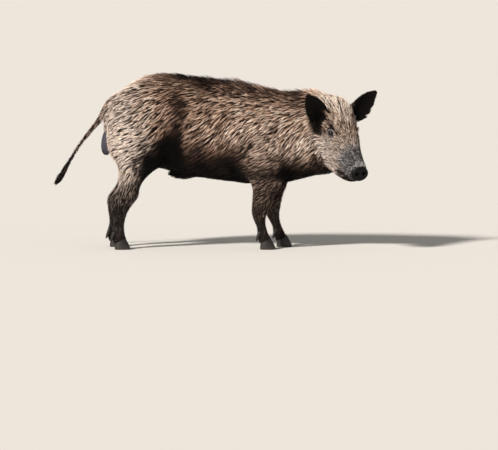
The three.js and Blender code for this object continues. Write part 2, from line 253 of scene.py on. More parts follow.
# ---- flesh as distances
@dataclass
class Solid:
    """A closed shell as distances on an even grid: below 0 inside, above 0 outside."""

    shell: Shell
    step: float = 3.0
    band: float = 30.0
    low: Array = field(init=False)
    values: Array = field(init=False)

    def __post_init__(self) -> None:
        """Measures the distances in a band on both sides of the shell."""
        grid = openvdb.FloatGrid.createLevelSetFromPolygons(
            self.shell.points.astype(np.float32),
            triangles=self.shell.triangles.astype(np.uint32),
            quads=self.shell.quads.astype(np.uint32),
            transform=openvdb.createLinearTransform(voxelSize=self.step),
            halfWidth=self.band / self.step,
        )
        low, high = grid.evalActiveVoxelBoundingBox()
        self.low = np.array(low)
        self.values = np.zeros(np.array(high) - low + 1, np.float32)
        grid.copyToArray(self.values, ijk=low)

    def bounds(self) -> tuple[Array, Array]:
        """The lowest and highest corner of what was measured."""
        return self.low * self.step, (self.low + np.array(self.values.shape) - 1) * self.step

    def distance(self, points: Array) -> Array:
        """The distance at each point, or the band's width beyond it."""
        place = points / self.step - self.low
        inside = np.all((place >= 0) & (place <= np.array(self.values.shape) - 1), axis=1)
        return np.where(inside, read_between(self.values, place), self.band)

    def on_grid(self, axes: Sequence[Array]) -> Array:
        """The distance at every crossing of three axes, read along one axis after the other."""
        block = self.values
        for axis, ticks in enumerate(axes):
            place = np.clip(ticks / self.step - self.low[axis], 0, block.shape[axis] - 1.001)
            cell = place.astype(int)
            shape = [1, 1, 1]
            shape[axis] = -1
            part = (place - cell).astype(np.float32).reshape(shape)
            block = block.take(cell, axis) * (1 - part) + block.take(cell + 1, axis) * part
        return block


@dataclass
class Egg:
    """An egg with three radii, turned by a frame whose columns are its axes."""

    centre: Array
    radii: Array
    axes: Array = field(default_factory=lambda: np.eye(3))
    reach: float = 25.0

    def bounds(self) -> tuple[Array, Array]:
        """The lowest and highest corner of a box well round the egg."""
        size = np.max(self.radii) + self.reach
        return np.array(self.centre) - size, np.array(self.centre) + size

    def distance(self, points: Array) -> Array:
        """About the distance: scaled length times (it − 1), over the length scaled twice."""
        local = (points - self.centre) @ self.axes
        once = np.linalg.norm(local / self.radii, axis=1)
        twice = np.linalg.norm(local / np.square(self.radii), axis=1)
        return once * (once - 1) / np.maximum(twice, 1e-6)

    def on_grid(self, axes: Sequence[Array]) -> Array:
        """The distance at every crossing of three axes."""
        crossings = stacked(*np.meshgrid(*axes, indexing="ij"))
        return self.distance(crossings.reshape(-1, 3)).reshape(crossings.shape[:3])


class Flesh:
    """Distances to the skin on a grid of uneven steps, finest at the head, ears and tail."""

    def __init__(self, axes: Sequence[Array]) -> None:
        """Starts with nothing inside."""
        self.axes = axes
        self.values = np.full([len(a) for a in axes], FAR, np.float32)

    def _block(self, solid: Solid | Egg) -> tuple[tuple[slice, ...], list[Array]]:
        """The part of the grid that a solid reaches, as slices and as axes."""
        low, high = solid.bounds()
        cuts = tuple(
            slice(int(np.searchsorted(axis, a)), int(np.searchsorted(axis, b, "right")))
            for axis, a, b in zip(self.axes, low, high)
        )
        return cuts, [axis[cut] for axis, cut in zip(self.axes, cuts)]

    def add(self, solid: Solid | Egg, depth: float | Field, soft: float, limit: Field | None = None) -> None:
        """Joins a solid softly to the flesh.

        Args:
            solid: What to join.
            depth: How far under its surface the skin lies, or a function of place that says so.
            soft: How far the join is rounded.
            limit: Gives a distance that is above 0 where the solid is cut away.
        """
        cuts, axes = self._block(solid)
        distance = solid.on_grid(axes)
        crossings = stacked(*np.meshgrid(*axes, indexing="ij")).reshape(-1, 3)
        shape = distance.shape
        distance = distance + (depth(crossings).reshape(shape) if callable(depth) else depth)
        if limit is not None:
            distance = np.maximum(distance, limit(crossings).reshape(shape))
        self.values[cuts] = joined_softly(self.values[cuts], distance, soft)

    def carve(self, egg: Egg, soft: float) -> None:
        """Takes an egg softly out of the flesh."""
        cuts, axes = self._block(egg)
        self.values[cuts] = -joined_softly(-self.values[cuts], egg.on_grid(axes), soft)

    def swell(self, centre: Array, spread: Array, height: float, lean: float = 0.0) -> None:
        """Raises or, with a negative height, hollows the surface by a soft bump.

        Args:
            centre: The bump's middle.
            spread: Its reach along x, y and z.
            height: How far the surface moves out at the middle.
            lean: Turns the bump in the x-z plane, in degrees.
        """
        reach = Egg(np.array(centre), np.full(3, 2.2 * max(spread)), reach=0)
        cuts, axes = self._block(reach)
        x, y, z = (g - c for g, c in zip(np.meshgrid(*axes, indexing="ij"), centre))
        c, s = math.cos(math.radians(lean)), math.sin(math.radians(lean))
        along, up = x * c + z * s, z * c - x * s
        square = (along / spread[0]) ** 2 + (y / spread[1]) ** 2 + (up / spread[2]) ** 2
        self.values[cuts] -= (height * np.exp(-square)).astype(np.float32)

    def distance(self, points: Array) -> Array:
        """The distance to the skin at each point."""
        place = (np.interp(column, axis, np.arange(len(axis))) for column, axis in zip(points.T, self.axes))
        return read_between(self.values, stacked(*place))

    def slope(self, points: Array, step: float = 3.0) -> Array:
        """The way out of the body at each point, from distances a step to both sides."""
        steps = np.eye(3) * step
        return unit(stacked(*(self.distance(points + s) - self.distance(points - s) for s in steps)))

    def shell(self) -> Shell:
        """The surface where the distance is 0, as quads, one for each grid edge that crosses it."""
        grid = openvdb.FloatGrid(background=FAR)
        grid.copyFromArray(self.values, ijk=(0, 0, 0), tolerance=0)
        points, quads = grid.convertToQuads(0.0)
        place = (np.interp(column, np.arange(len(axis)), axis) for column, axis in zip(points.T, self.axes))
        return Shell(stacked(*place), quads.astype(int)).turned_out()


def ticks(*spans: Triple) -> Array:
    """Rising places with a step of their own in each span of (start, end, step)."""
    parts = [np.linspace(a, b, max(2, round((b - a) / step) + 1))[:-1] for a, b, step in spans]
    return np.concatenate([*parts, [spans[-1][1]]])


# ---- the body's shapes
TRUNK = Sections((  # x, y, heading, top, bottom, half, mid, mane
    (-386, 0, 0, 540, 470, 16, 0.5, 0), (-364, 0, 0, 594, 430, 52, 0.5, 2),
    (-325, 0, 0, 628, 375, 88, 0.5, 5), (-270, 0, 0, 663, 338, 113, 0.5, 7),
    (-205, 0, 0, 692, 324, 126, 0.48, 9), (-140, 0, 0, 701, 312, 129, 0.46, 10),
    (-70, 0, 0, 696, 288, 133, 0.45, 12), (10, 0, 0, 686, 280, 139, 0.44, 14),
    (100, 0, 0, 676, 269, 143, 0.44, 18), (190, 0, 0, 665, 258, 140, 0.44, 24),
    (270, -2, -3, 646, 254, 131, 0.44, 21), (340, -8, -9, 630, 262, 120, 0.44, 18),
    (400, -24, -20, 636, 276, 112, 0.44, 20), (450, -47, -32, 643, 290, 106, 0.45, 19),
    (492, -76, -42, 633, 297, 98, 0.46, 14), (524, -108, -48, 613, 306, 84, 0.48, 7),
))  # fmt: skip
FORE_LEG = Sections((  # z, back, front, out, half
    (600, 214, 292, 32, 22), (530, 172, 338, 60, 52), (445, 152, 362, 76, 59),
    (365, 164, 364, 84, 55), (300, 188, 346, 86, 46), (245, 208, 318, 85, 37),
    (205, 209, 294, 82, 32), (152, 205, 272, 79, 28), (118, 213, 264, 78, 24),
    (86, 226, 267, 77, 21), (58, 228, 277, 77, 25), (34, 234, 288, 77, 27),
    (12, 240, 290, 77, 24),
))  # fmt: skip
HIND_LEG = Sections((
    (620, -296, -212, 20, 22), (580, -326, -164, 42, 44), (520, -358, -138, 60, 60),
    (455, -372, -126, 69, 65), (390, -363, -130, 77, 61), (335, -332, -152, 82, 53),
    (295, -322, -204, 83, 44), (250, -328, -236, 83, 36), (208, -356, -244, 82, 31),
    (180, -360, -266, 81, 28), (145, -353, -288, 80, 24), (100, -346, -300, 79, 21),
    (60, -352, -298, 79, 25), (34, -348, -288, 79, 27), (12, -340, -286, 79, 24),
))  # fmt: skip
TAIL = Sections((  # x, z, across, deep
    (-318, 596, 26, 24), (-360, 574, 21, 21), (-402, 513, 13, 13.5), (-444, 462, 9.5, 10.5),
    (-482, 411, 8.5, 9.5), (-516, 358, 8.5, 10), (-545, 307, 9, 13.5), (-567, 274, 8, 14),
    (-578, 260, 3, 8),
))  # fmt: skip
HEAD = Sections((  # forward, top, bottom, half, mid
    (-172, 38, -40, 34, 0.5), (-150, 64, -80, 66, 0.48), (-116, 82, -122, 87, 0.44),
    (-82, 85, -148, 96, 0.4), (-46, 72, -166, 92, 0.44), (-12, 56, -177, 76, 0.55),
    (25, 38, -180, 68, 0.65), (60, 19, -178, 59, 0.63), (98, 2, -166, 50, 0.6),
    (132, -13, -150, 44, 0.6), (162, -25, -130, 40, 0.6), (180, -32, -112, 38, 0.55),
    (192, -38, -98, 35, 0.5),
))  # fmt: skip
CLAW = Sections((  # z, back, front, half
    (0, 2, 60, 11.8), (5, 0, 62, 13.6), (22, 2, 55, 14), (40, 7, 45, 13.3), (58, 12, 36, 12.3),
))  # fmt: skip


class Pose:
    """A place and a turn: a frame whose axes are the columns of a turning matrix."""

    def __init__(self, origin: Array, axes: Array) -> None:
        """Keeps where the frame's zero lies, and its three axes as columns."""
        self.origin, self.axes = np.array(origin, float), np.array(axes, float)

    def out(self, local: Array) -> Array:
        """Points of the frame in the body's layout."""
        return local @ self.axes.T + self.origin

    def into(self, points: Array) -> Array:
        """Points of the body's layout in the frame."""
        return (points - self.origin) @ self.axes


@dataclass
class Head:
    """The head's sizes, in a frame of its own from midway between the eyes: forward, left, up."""

    place: Triple = (569, -172, 478)
    yaw: float = 60
    pitch: float = 35
    roll: float = 6
    nose: tuple[float, float] = (194, -66)  # forward and up, to the middle of the nose disc
    nose_lift: float = 18
    nose_size: Triple = (7.5, 37, 29)
    nostril: tuple[float, float] = (15, 7.5)  # how far out, and its radius
    eye_out: float = 53
    eye_radius: float = 12.5
    mouth: Triple = (84, -96, 3)  # corner's forward and up, and its rise
    ear_root: Triple = (-67, 66, 30)
    ear_along: dict = field(default_factory=lambda: {1: (-4, 97, 89), -1: (-17, 92, 112)})
    ear_hollow: dict = field(default_factory=lambda: {1: (1, -0.15, 0.3), -1: (1, 0.3, 0.05)})
    ear_length: float = 131
    ear_half: float = 47
    ear_outer: tuple[float, ...] = (0.8, 1.16, 0.26, 0.3, 0.1, 1.7)  # root, full, at, from, tip, power
    ear_inner: tuple[float, ...] = (0.45, 0.92, 0.5, 0.45, 0.1, 2.0)
    ear_cup: float = 26
    ear_curl: float = 10
    ear_thick: float = 5
    ear_buried: float = 16

    def __post_init__(self) -> None:
        """Makes the head's and the nose's frames."""
        self.pose = Pose(self.place, turning(2, -self.yaw) @ turning(1, self.pitch) @ turning(0, self.roll))
        nose = self.pose.out(np.array([self.nose[0], 0, self.nose[1]]))
        self.nose_pose = Pose(nose, self.pose.axes @ turning(1, -self.nose_lift))

    def ear_pose(self, side: int) -> Pose:
        """An ear's frame: the way its hollow faces, across, and along to the tip."""
        mirror = np.array([1, side, 1])
        along = unit(np.array(self.ear_along[side]) * mirror)
        facing = np.array(self.ear_hollow[side]) * mirror
        facing = unit(facing - facing @ along * along)
        root = self.pose.out(np.array(self.ear_root) * mirror)
        return Pose(root, self.pose.axes @ stacked(facing, np.cross(along, facing), along))

    def skull(self, turn: Array, along: Array) -> Array:
        """Rings of cos and sin raised to a little under one, full at the sides."""
        forward, top, bottom, half, mid = HEAD.at(along)
        middle = bottom + (top - bottom) * mid
        side, up = np.cos(turn), np.sin(turn)
        tall = np.where(up > 0, top - middle, middle - bottom)
        return self.pose.out(stacked(forward, half * power(side, 0.92), middle + tall * power(up, 0.95)))

    def disc(self, turn: Array, along: Array) -> Array:
        """The nose disc: rings along its thickness, drawn in at both faces as a squashed circle."""
        thick, half, tall = self.nose_size
        ring = (1 - np.abs(2 * along - 1) ** 5) ** 0.2
        across, up = half * np.cos(turn) * ring, tall * np.sin(turn) * ring
        return self.nose_pose.out(stacked(thick * (2 * along - 1), across, up))

    def ear_edge(self, outer: Array, along: Array) -> Array:
        """How wide an ear is on one side: it swells from the root as a sine, then draws in to the tip."""
        kinds = np.where(np.asarray(outer)[..., None], self.ear_outer, self.ear_inner)
        root, full, at, start, tip, sharp = np.moveaxis(kinds, -1, 0)
        swell = root + (full - root) * np.sin(np.minimum(1, along / at) * np.pi / 2)
        return self.ear_half * (swell - (full - tip) * np.clip((along - start) / (1 - start), 0, 1) ** sharp)

    def ear_sheet(self, across: Array, along: Array) -> Array:
        """How far the middle of an ear's thickness stands out, cupped across and curled back at the tip."""
        cup = self.ear_cup * (1 - 0.75 * along) * ((across / self.ear_half) ** 2 - 0.35)
        return cup - self.ear_curl * along**2

    def ear(self, side: int) -> Callable[[Array, Array], Array]:
        """A leaf that is wider on its outer side, closed along a thick edge."""
        pose = self.ear_pose(side)

        def place(turn: Array, along: Array) -> Array:
            """The sheet, with its thickness as the sine of the turn."""
            across = self.ear_edge(side * np.cos(turn) > 0, along) * np.cos(turn)
            hollow = self.ear_sheet(across, along) + self.ear_thick * power(np.sin(turn), 0.6)
            return pose.out(stacked(hollow, across, -self.ear_buried + (self.ear_length + self.ear_buried) * along))

        return place


@dataclass
class Leg:
    """One leg, read from its table at a level, with its foot a step ahead."""

    table: Sections
    side: int
    step: float
    top: float = 480  # the level from which the foot is set ahead

    def surface(self, turn: Array, along: Array) -> Array:
        """Level ellipses between the back and front edges."""
        z, back, front, out, half = self.table.at(along)
        shift = self.step * (1 - eased(z / self.top, 0, 1))
        x = (front + back) / 2 + shift + (front - back) / 2 * np.cos(turn)
        return stacked(x, self.side * (out + half * np.sin(turn)), z)

    def middle(self, z: Array) -> Array:
        """The middle of the leg."""
        level, back, front, out = self.table.columns(0, 1, 2, 3)[:, ::-1]
        x = np.interp(z, level, (back + front) / 2) + self.step * (1 - eased(z / self.top, 0, 1))
        return stacked(x, self.side * np.interp(z, level, out))

    @property
    def heel(self) -> float:
        """The back edge of the sole."""
        return self.table.rows[-1][1] + self.step

    @property
    def out(self) -> float:
        """How far the foot stands from the body's middle."""
        return self.table.rows[-1][3]


def trunk_surface(turn: Array, along: Array) -> Array:
    """Rings square to the heading, peaked above and full below their widest level, without the mane.

    Args:
        turn: Angles round the trunk.
        along: Places from the rump at 0 to the nape at 1.

    Returns:
        Points.
    """
    x, y, heading, top, bottom, half, mid, mane = TRUNK.at(along)
    side, up = np.cos(turn), np.sin(turn)
    middle = bottom + (top - bottom) * mid
    side = half * np.where(up > 0, power(side, 1.06), power(side, 0.9))
    level = middle + np.where(up > 0, top - mane - middle, middle - bottom) * up
    heading = np.radians(heading)
    return stacked(x - side * np.sin(heading), y + side * np.cos(heading), level)


def tail_surface(turn: Array, along: Array) -> Array:
    """Rings square to the tail's line."""
    x, z, across, deep = TAIL.at(along)
    before, after = TAIL.at(np.clip(along - 0.01, 0, 1)), TAIL.at(np.clip(along + 0.01, 0, 1))
    way = unit(stacked(before[1] - after[1], after[0] - before[0]))
    swing = deep * np.cos(turn)
    return stacked(x + way[:, 0] * swing, across * np.sin(turn), z + way[:, 1] * swing)


class Part(Enum):
    """The parts of the body that a point of the skin can belong to."""

    TRUNK = 0
    HEAD = 1
    FORE_LEFT = 2
    FORE_RIGHT = 3
    HIND_LEFT = 4
    HIND_RIGHT = 5
    TAIL = 6
    EAR_LEFT = 7
    EAR_RIGHT = 8

    @property
    def side(self) -> int:
        """1 on the left, −1 on the right."""
        return -1 if self.name.endswith("RIGHT") else 1


EARS = (Part.EAR_LEFT, Part.EAR_RIGHT)
Shares = dict[Part, Array]  # how much each part has of each place


@dataclass
class Body:
    """The whole animal's flesh: every part as a solid, and the skin that lies under the coat."""

    head: Head = field(default_factory=Head)
    coat_depth: float = 9.0
    coronet: float = 35.0
    coronet_slant: float = 20.0
    claw_long: float = 62.0

    def __post_init__(self) -> None:
        """Measures the frame's shift and makes every part's solid."""
        middles = [(low + high) / 2 for low, high in (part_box("eye_left"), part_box("eye_right"))]
        between = np.array((middles[0] + middles[1]) / 2) / MM
        self.shift = between - np.array(self.head.place)
        self.shift[2] = 0.0
        self.legs = {
            Part.FORE_LEFT: Leg(FORE_LEG, 1, 66),
            Part.FORE_RIGHT: Leg(FORE_LEG, -1, 0),
            Part.HIND_LEFT: Leg(HIND_LEG, 1, -22),
            Part.HIND_RIGHT: Leg(HIND_LEG, -1, 0),
        }
        self.solids: dict[Part, Solid] = {
            Part.TRUNK: Solid(tube(trunk_surface, 72, 150), 4.0, 32.0),
            Part.HEAD: Solid(tube(self.head.skull, 72, 110), 3.0, 30.0),
            Part.TAIL: Solid(tube(tail_surface, 24, 90), 3.0, 24.0),
            **{part: Solid(tube(leg.surface, 40, 130), 3.0, 27.0) for part, leg in self.legs.items()},
            **{ear: Solid(tube(self.head.ear(ear.side), 64, 60), 2.0, 16.0) for ear in EARS},
        }

    def placed(self, points: Array) -> Array:
        """Points of the body's layout in metres in the part's frame."""
        return (points + self.shift) * MM

    def under_coronet(self, leg: Leg) -> Callable[[Array], Array]:
        """The slanting hair line of a foot."""
        tilt = math.radians(self.coronet_slant)
        middle = leg.heel + self.claw_long / 2

        def below(points: Array) -> Array:
            """The level of the line over each point, less the point's, square to the line."""
            level = self.coronet + (points[:, 0] - middle) * math.tan(tilt)
            return (level - points[:, 2]) * math.cos(tilt)

        return below

    def face_depth(self, points: Array) -> Array:
        """The coat's depth on the head, from deep at the nape to a film on the nose."""
        forward = self.head.pose.into(points)[:, 0]
        return np.interp(forward, [-150, -60, 40, 120, 175, 192], [9, 7, 4.5, 2.8, 1.5, 0.8])

    def leg_depth(self, points: Array) -> Array:
        """The coat's depth on a leg, thinner towards the foot."""
        return np.interp(points[:, 2], [40, 150, 320, 480], [2.5, 4, 7, 9])

    def flesh(self) -> Flesh:
        """Joins all parts, then shapes eyes, muscles, folds and scrotum in the joined flesh."""
        flesh = Flesh((
            ticks((-596, -392, 4), (-392, -120, 5.8), (-120, 135, 9), (135, 372, 5.8), (372, 452, 4), (452, 742, 3.4)),
            ticks((-338, -46, 3.5), (-46, 24, 4.4), (24, 168, 6.6)),
            ticks((8, 100, 4.2), (100, 250, 6.4), (250, 716, 3.9)),
        ))  # fmt: skip
        flesh.add(self.solids[Part.TRUNK], self.coat_depth, 4)
        for part, leg in self.legs.items():
            flesh.add(self.solids[part], self.leg_depth, 24, self.under_coronet(leg))
        flesh.add(self.solids[Part.HEAD], self.face_depth, 26)
        flesh.add(self.solids[Part.TAIL], 4.5, 14)
        for ear in EARS:
            self.shape_side(flesh, ear)
        flesh.add(Solid(tube(self.head.disc, 48, 24), 1.6, 16.0), 0.6, 5)
        for lobe in (-1, 1):  # of the scrotum
            flesh.add(Egg((-366, lobe * 13.5, 430 + 3 * lobe), (27.5, 18, 56), turning(1, 12)), 0.0, 5)
        flesh.add(Egg((-84, 0, 294), (40, 13, 11.0), turning(1, 6)), 0.0, 22)  # sheath
        return flesh

    def shape_side(self, flesh: Flesh, ear: Part) -> None:
        """Shapes one side's muscles, folds, brow, cheek and eye socket, and adds its ear.

        Args:
            flesh: The flesh.
            ear: The side's ear.
        """
        head, side = self.head, ear.side

        def on_face(*place: float) -> Array:
            """A place given on the left of the head's frame, on this side in the body's layout."""
            return head.pose.out(np.array(place) * (1, side, 1))

        flesh.swell((-112, side * 118, 392), (52, 60, 74), -11, -28)  # flank
        flesh.swell((148, side * 120, 300), (34, 60, 42), -7)  # elbow
        flesh.swell((262, side * 118, 440), (62, 60, 90), 4, 10)  # shoulder
        flesh.swell((338, side * 110 - 8, 430), (24, 60, 110), -4, -10)  # neck
        flesh.swell((-250, side * 112, 500), (70, 60, 80), 4)  # thigh
        flesh.add(Egg(on_face(7, 46, 20), (25, 14, 11.0), head.pose.axes), 1.0, 14)  # brow
        flesh.swell(on_face(34, 50, -46), (26, 26, 22), 3.5)  # cheek
        flesh.swell(on_face(-58, 84, -96), (34, 34, 40), 4)  # jowl
        flesh.carve(Egg(on_face(9, 77, 1), (27, 22, 18.0), head.pose.axes), 9)  # socket
        eye = Eye(self, side)
        flesh.carve(Egg(eye.around(0.0, 0.0, 32.0), (30, 19, 17.0), eye.pose.axes), 8)
        flesh.add(Egg(on_face(0, head.eye_out, 0), np.full(3, head.eye_radius + 1.8)), 0.0, 7)  # lids
        flesh.add(self.solids[ear], 1.3, 9)


# ---- colours of coat and skin
@dataclass(frozen=True)
class CoatColours:
    """Bristle and hide colours, as sRGB hex."""

    black: str = "0a0808"  # hair of the belly, feet and ears' hollows
    root: str = "130d0b"  # bristle bases, partly painted shade deep in the coat
    dark: str = "3a2a22"
    brown: str = "7a5c4a"  # warm bristle tips of the back
    tan: str = "b8937a"  # tips of the flanks
    light: str = "eccaaf"
    cream: str = "fff2e2"  # the lightest tips
    pale: str = "e6d3c6"  # the greyer tips of rump, thigh and cheek
    grey: str = "b3afb3"  # fine hair of the snout
    hide: str = "1c1512"
    snout: str = "282527"
    lid: str = "77727a"
    nose: str = "070607"
    scrotum: str = "3d3c45"


class MarkingsAndPaintedLight:
    """How light and how grey the coat is at each place, for bristles and skin alike.

    Every marking, painted shade and painted highlight adds to or takes from a plain tone: a number for
    how much, times hills and eased edges for where. Places are in the body's layout, or on the head in its own frame.
    """

    RAMP = ("black", "dark", "brown", "tan", "light", "cream")
    RAMP_AT = (0, 0.25, 0.5, 0.78, 1.1, 1.5)  # the lightness of each
    EYE_FOR = (0.3, 0.6, 0.1)  # how much of brightness is red, green and blue

    def __init__(self, body: Body, colours: CoatColours) -> None:
        """Keeps the body and turns the colours to linear."""
        self.body = body
        self.rgb = {name: srgb(code) for name, code in vars(colours).items()}

    def height(self, points: Array) -> Array:
        """How far up the trunk each point is: 0 at the belly line, 1 at the spine under the mane."""
        at, top, low, mane = TRUNK.columns(0, 3, 4, 7)
        low, top = np.interp(points[:, 0], at, low), np.interp(points[:, 0], at, top - mane)
        return (points[:, 2] - low) / (top - low)

    def trunk(self, points: Array) -> tuple[Array, Array]:
        """The trunk and neck: dark spine, light rump and shoulder, a darker belly, elbow and throat that are partly
        painted shade under the body, and painted shade in the flank fold and behind the ear.

        Args:
            points: Places on the skin.

        Returns:
            Lightness and greyness.
        """
        x, _, z = points.T
        up = self.height(points)
        light = 0.56 + 0.34 * eased(-x, 150, 310) + 0.14 * eased(x, 60, 170)
        light -= 0.16 * eased(up, 0.72, 0.92) * (1 - eased(-x, 120, 240))
        light -= 0.36 * eased(up, 0.9, 0.98) * eased(-x, -440, -380) * (1 - 0.7 * eased(-x, 60, 170))
        # Darker low on the chest round the elbow: partly its own colour, partly painted shade under the body and in the
        # elbow's crease
        light -= 0.36 * hill(x, 186, 112) * (1 - eased(up, 0.2, 0.6))
        # Painted shade of the ear on the neck behind it
        light -= 0.12 * hill(x, 396, 34) * eased(z, 440, 500)
        # The belly's dark edge, higher in front than at the flank: partly the belly's own dark hair, partly painted
        # shade under the body
        lifted = up + 0.12 * eased(-x, 120, 260) + 0.08 * eased(x, 110, 190) + 0.04 * waves(points, 70, 2)
        light *= eased(lifted, 0.12, 0.46)
        # The fold before the thigh: painted shade in its hollow, sharp in front, and a band of painted shade above it
        fold = x + 106 - 0.22 * (z - 400)
        hollow = hill(fold, -6, 34 + 28 * eased(-z, -480, -400)) * (1 - eased(fold, 16, 60)) * hill(z, 376, 95)
        band = hill(fold, -18, 42) * eased(z, 400, 480) * (1 - eased(up, 0.74, 0.92))
        light -= 0.68 * hollow
        light -= (0.27 + 0.08 * waves(points, 60, 10)) * band
        # The throat is darker below, partly its own colour and partly painted shade under the neck, and the elbow has a
        # light patch
        low, high = (np.interp(x, [300, 400, 440], levels) for levels in ([0.16, 0.06, 0.0], [0.44, 0.22, 0.08]))
        light *= (1 - 0.94 * eased(x, 240, 320) * (1 - eased((up - low) / (high - low), 0, 1)))
        light += 0.42 * hill(x, 228, 26) * hill(z, 356, 30) * eased(up, 0.1, 0.2)
        grey = 0.15 + 0.5 * eased(-x, 140, 320) + 0.35 * hill(up, 0.35, 0.25) * eased(x, 60, 200)
        return light + 0.08 * waves(points, 110, 3), grey + 0.1 * waves(points, 150, 4)

    def face(self, points: Array) -> tuple[Array, Array]:
        """The head: light cheek and crown, painted shadow of the ears round their roots, painted shade on the chin,
        under the jaw and on the far side, and a painted highlight on the nose's upper rim.

        Args:
            points: Places on the skin.

        Returns:
            Lightness and greyness, which above 1 turns to the snout's cool grey.
        """
        f, left, u = self.body.head.pose.into(points).T
        out = np.abs(left)
        light = 0.86 + 0.4 * hill(f, -50, 50) * hill(u, -106, 44) + 0.14 * hill(f, -110, 60) * eased(u, 30, 70)
        light -= 0.4 * hill(f, -26, 34) * hill(out, 50, 24) * hill(u, 32, 24)
        light -= 0.12 * hill(f, 26, 30) * eased(36 - out, 0, 24)
        # Painted shadow of the ear on the cheek, between its root and the eye
        light -= 0.9 * hill(f, -48, 24) * hill(out, 82, 24) * hill(u, -16, 22)
        # Painted shadow of the ears round their roots
        ear_root = (1 - eased(np.abs(f + 74), 18, 34)) * eased(out, 50, 66) * (1 - eased(np.abs(u - 14), 36, 58))
        light -= 1.2 * ear_root
        # Painted shade on the far (left) side of the face
        light -= 0.32 * eased(left, 6, 36) * eased(f, -40, 10) * (1 - eased(f, 140, 170))
        # Painted shade on the chin and under the lower jaw
        chin = eased(-u + 6 * waves(points, 26, 11), 78, 118) * eased(f, 66, 130)
        corner = hill(f, 84, 14) * hill(u, -98, 14)  # of the mouth
        light -= 0.3 * eased(f, 70, 120)
        light -= 0.95 * chin
        light += 0.3 * corner
        # Painted shade under the head, darkest at its bottom
        light *= (1 - 0.9 * eased(-u, 146, 176))
        # Painted highlight on the upper rim of the nose disc, where its edge catches the light
        light += 0.8 * hill(f, 174, 9) * eased(u, -72, -50)
        grey = 0.3 + 0.8 * hill(f, 10, 66) * eased(-u, -10, 50) + 1.5 * eased(f, 56, 116) - 1.2 * corner
        return light + 0.1 * waves(points, 40, 5), grey

    def leg(self, points: Array) -> tuple[Array, Array]:
        """The legs: brown above, near black at the feet, dark on the hind legs' front edges.

        Args:
            points: Places on the skin.

        Returns:
            Lightness and greyness.
        """
        x, _, z = points.T
        behind = x < 0
        light = np.interp(z, [30, 120, 200, 300, 420], [0.12, 0.22, 0.33, 0.42, 0.6])
        light += np.where(behind, 0.6 * eased(z, 170, 320) * (1 - eased(x, -330, -205)), 0)
        light = np.where(behind, light - 0.6 * eased(x, -285, -200) * eased(440 - z, 0, 90), light)
        light -= np.where(behind, 0, 0.3 * eased(x, 300, 340) * eased(z, 200, 300) + 0.26 * hill(z, 304, 28))
        return light + 0.08 * waves(points, 60, 6), 0.5 + 0.4 * behind

    def ear_back(self, points: Array, part: Part) -> Array:
        """1 on the brown-haired back of an ear's root, 0 in its hollow and at its tip."""
        head = self.body.head
        hollow, across, along = head.ear_pose(part.side).into(points).T
        sheet = head.ear_sheet(across, along / head.ear_length)
        return eased(sheet - hollow, -1, 3) * (1 - eased(along, 40, 112))

    def tone(self, points: Array, shares: Shares) -> tuple[Array, Array]:
        """Lightness and greyness by each part's share of the place.

        Args:
            points: Places on the skin.
            shares: How much each part has of each place.

        Returns:
            Lightness and greyness, one value each for every place.
        """
        tail = np.interp(points[:, 2], [250, 320, 400, 560], [0.02, 0.1, 0.3, 0.6])
        found = {Part.TRUNK: self.trunk(points), Part.HEAD: self.face(points), Part.TAIL: (tail, 0.4)}
        found |= dict.fromkeys(self.body.legs, self.leg(points))
        found |= {ear: (0.5 * self.ear_back(points, ear), 0.2) for ear in EARS}
        light, grey = (sum(share * found[part][i] for part, share in shares.items()) for i in (0, 1))
        return np.clip(light, 0, 1.1), np.clip(grey, 0, 2)

    def tips(self, light: Array, grey: Array) -> Array:
        """Bristle tip colours, black through browns to light tan, and pale or cool grey by greyness.

        Args:
            light: The lightness of each.
            grey: The greyness of each.

        Returns:
            Linear colours, one row each.
        """
        rgb = self.rgb
        ramp = np.stack([rgb[name] for name in self.RAMP])
        warm = stacked(*(np.interp(light, self.RAMP_AT, column) for column in ramp.T))
        level = (warm @ self.EYE_FOR)[..., None]
        pale, cool = (rgb[name] / (rgb[name] @ self.EYE_FOR) * level for name in ("pale", "grey"))
        return mixed(mixed(warm, pale, 0.9 * np.clip(grey, 0, 1)), cool, np.clip(grey - 1, 0, 1))

    def hide(self, points: Array, shares: Shares) -> tuple[Array, Array, Array]:
        """The skin's colour, how bare of hair it is, and how moist and pebbled, each from 0 to 1.

        Args:
            points: Places on the skin.
            shares: How much each part has of each place.

        Returns:
            Linear colours, one row each, the bareness and the moistness.
        """
        light, grey = self.tone(points, shares)
        rgb, head = self.rgb, self.body.head
        colour = mixed(rgb["hide"], self.tips(light, grey), 0.2 * light)
        f, _, u = head.pose.into(points).T
        snout = eased(f, 70, 140) * shares[Part.HEAD]
        # The snout's skin is darker below the mouth: painted shade under the jaw, as on the coat
        colour = mixed(colour, rgb["snout"] * (1 - 0.7 * eased(-u, 84, 116))[:, None], 0.85 * snout)
        colour = mixed(colour, rgb["black"], 0.9 * (shares[Part.EAR_LEFT] + shares[Part.EAR_RIGHT]))
        lids = (Eye(self.body, side).lid_tone(points) for side in SIDES.values())
        lid, tone = (sum(parts) for parts in zip(*lids))
        colour = mixed(colour, rgb["lid"] * tone[:, None], lid)
        depth, across, up = (head.nose_pose.into(points) / (1, *head.nose_size[1:])).T
        tip = (1 - eased(np.hypot(across, up), 1.03, 1.1)) * (1 - eased(np.abs(depth), 8.5, 10.5))
        colour = mixed(colour, rgb["nose"], tip)
        bag = Egg(np.array([-366, 0, 430.0]), np.array([36, 38, 64.0])).distance(points)
        bare = (1 - eased(bag, -1, 5)) * (points[:, 0] < -340)
        colour = mixed(colour, rgb["scrotum"], bare)
        return colour, np.clip(tip + bare + lid, 0, 1), np.clip(tip + bare + 0.3 * lid, 0, 1)


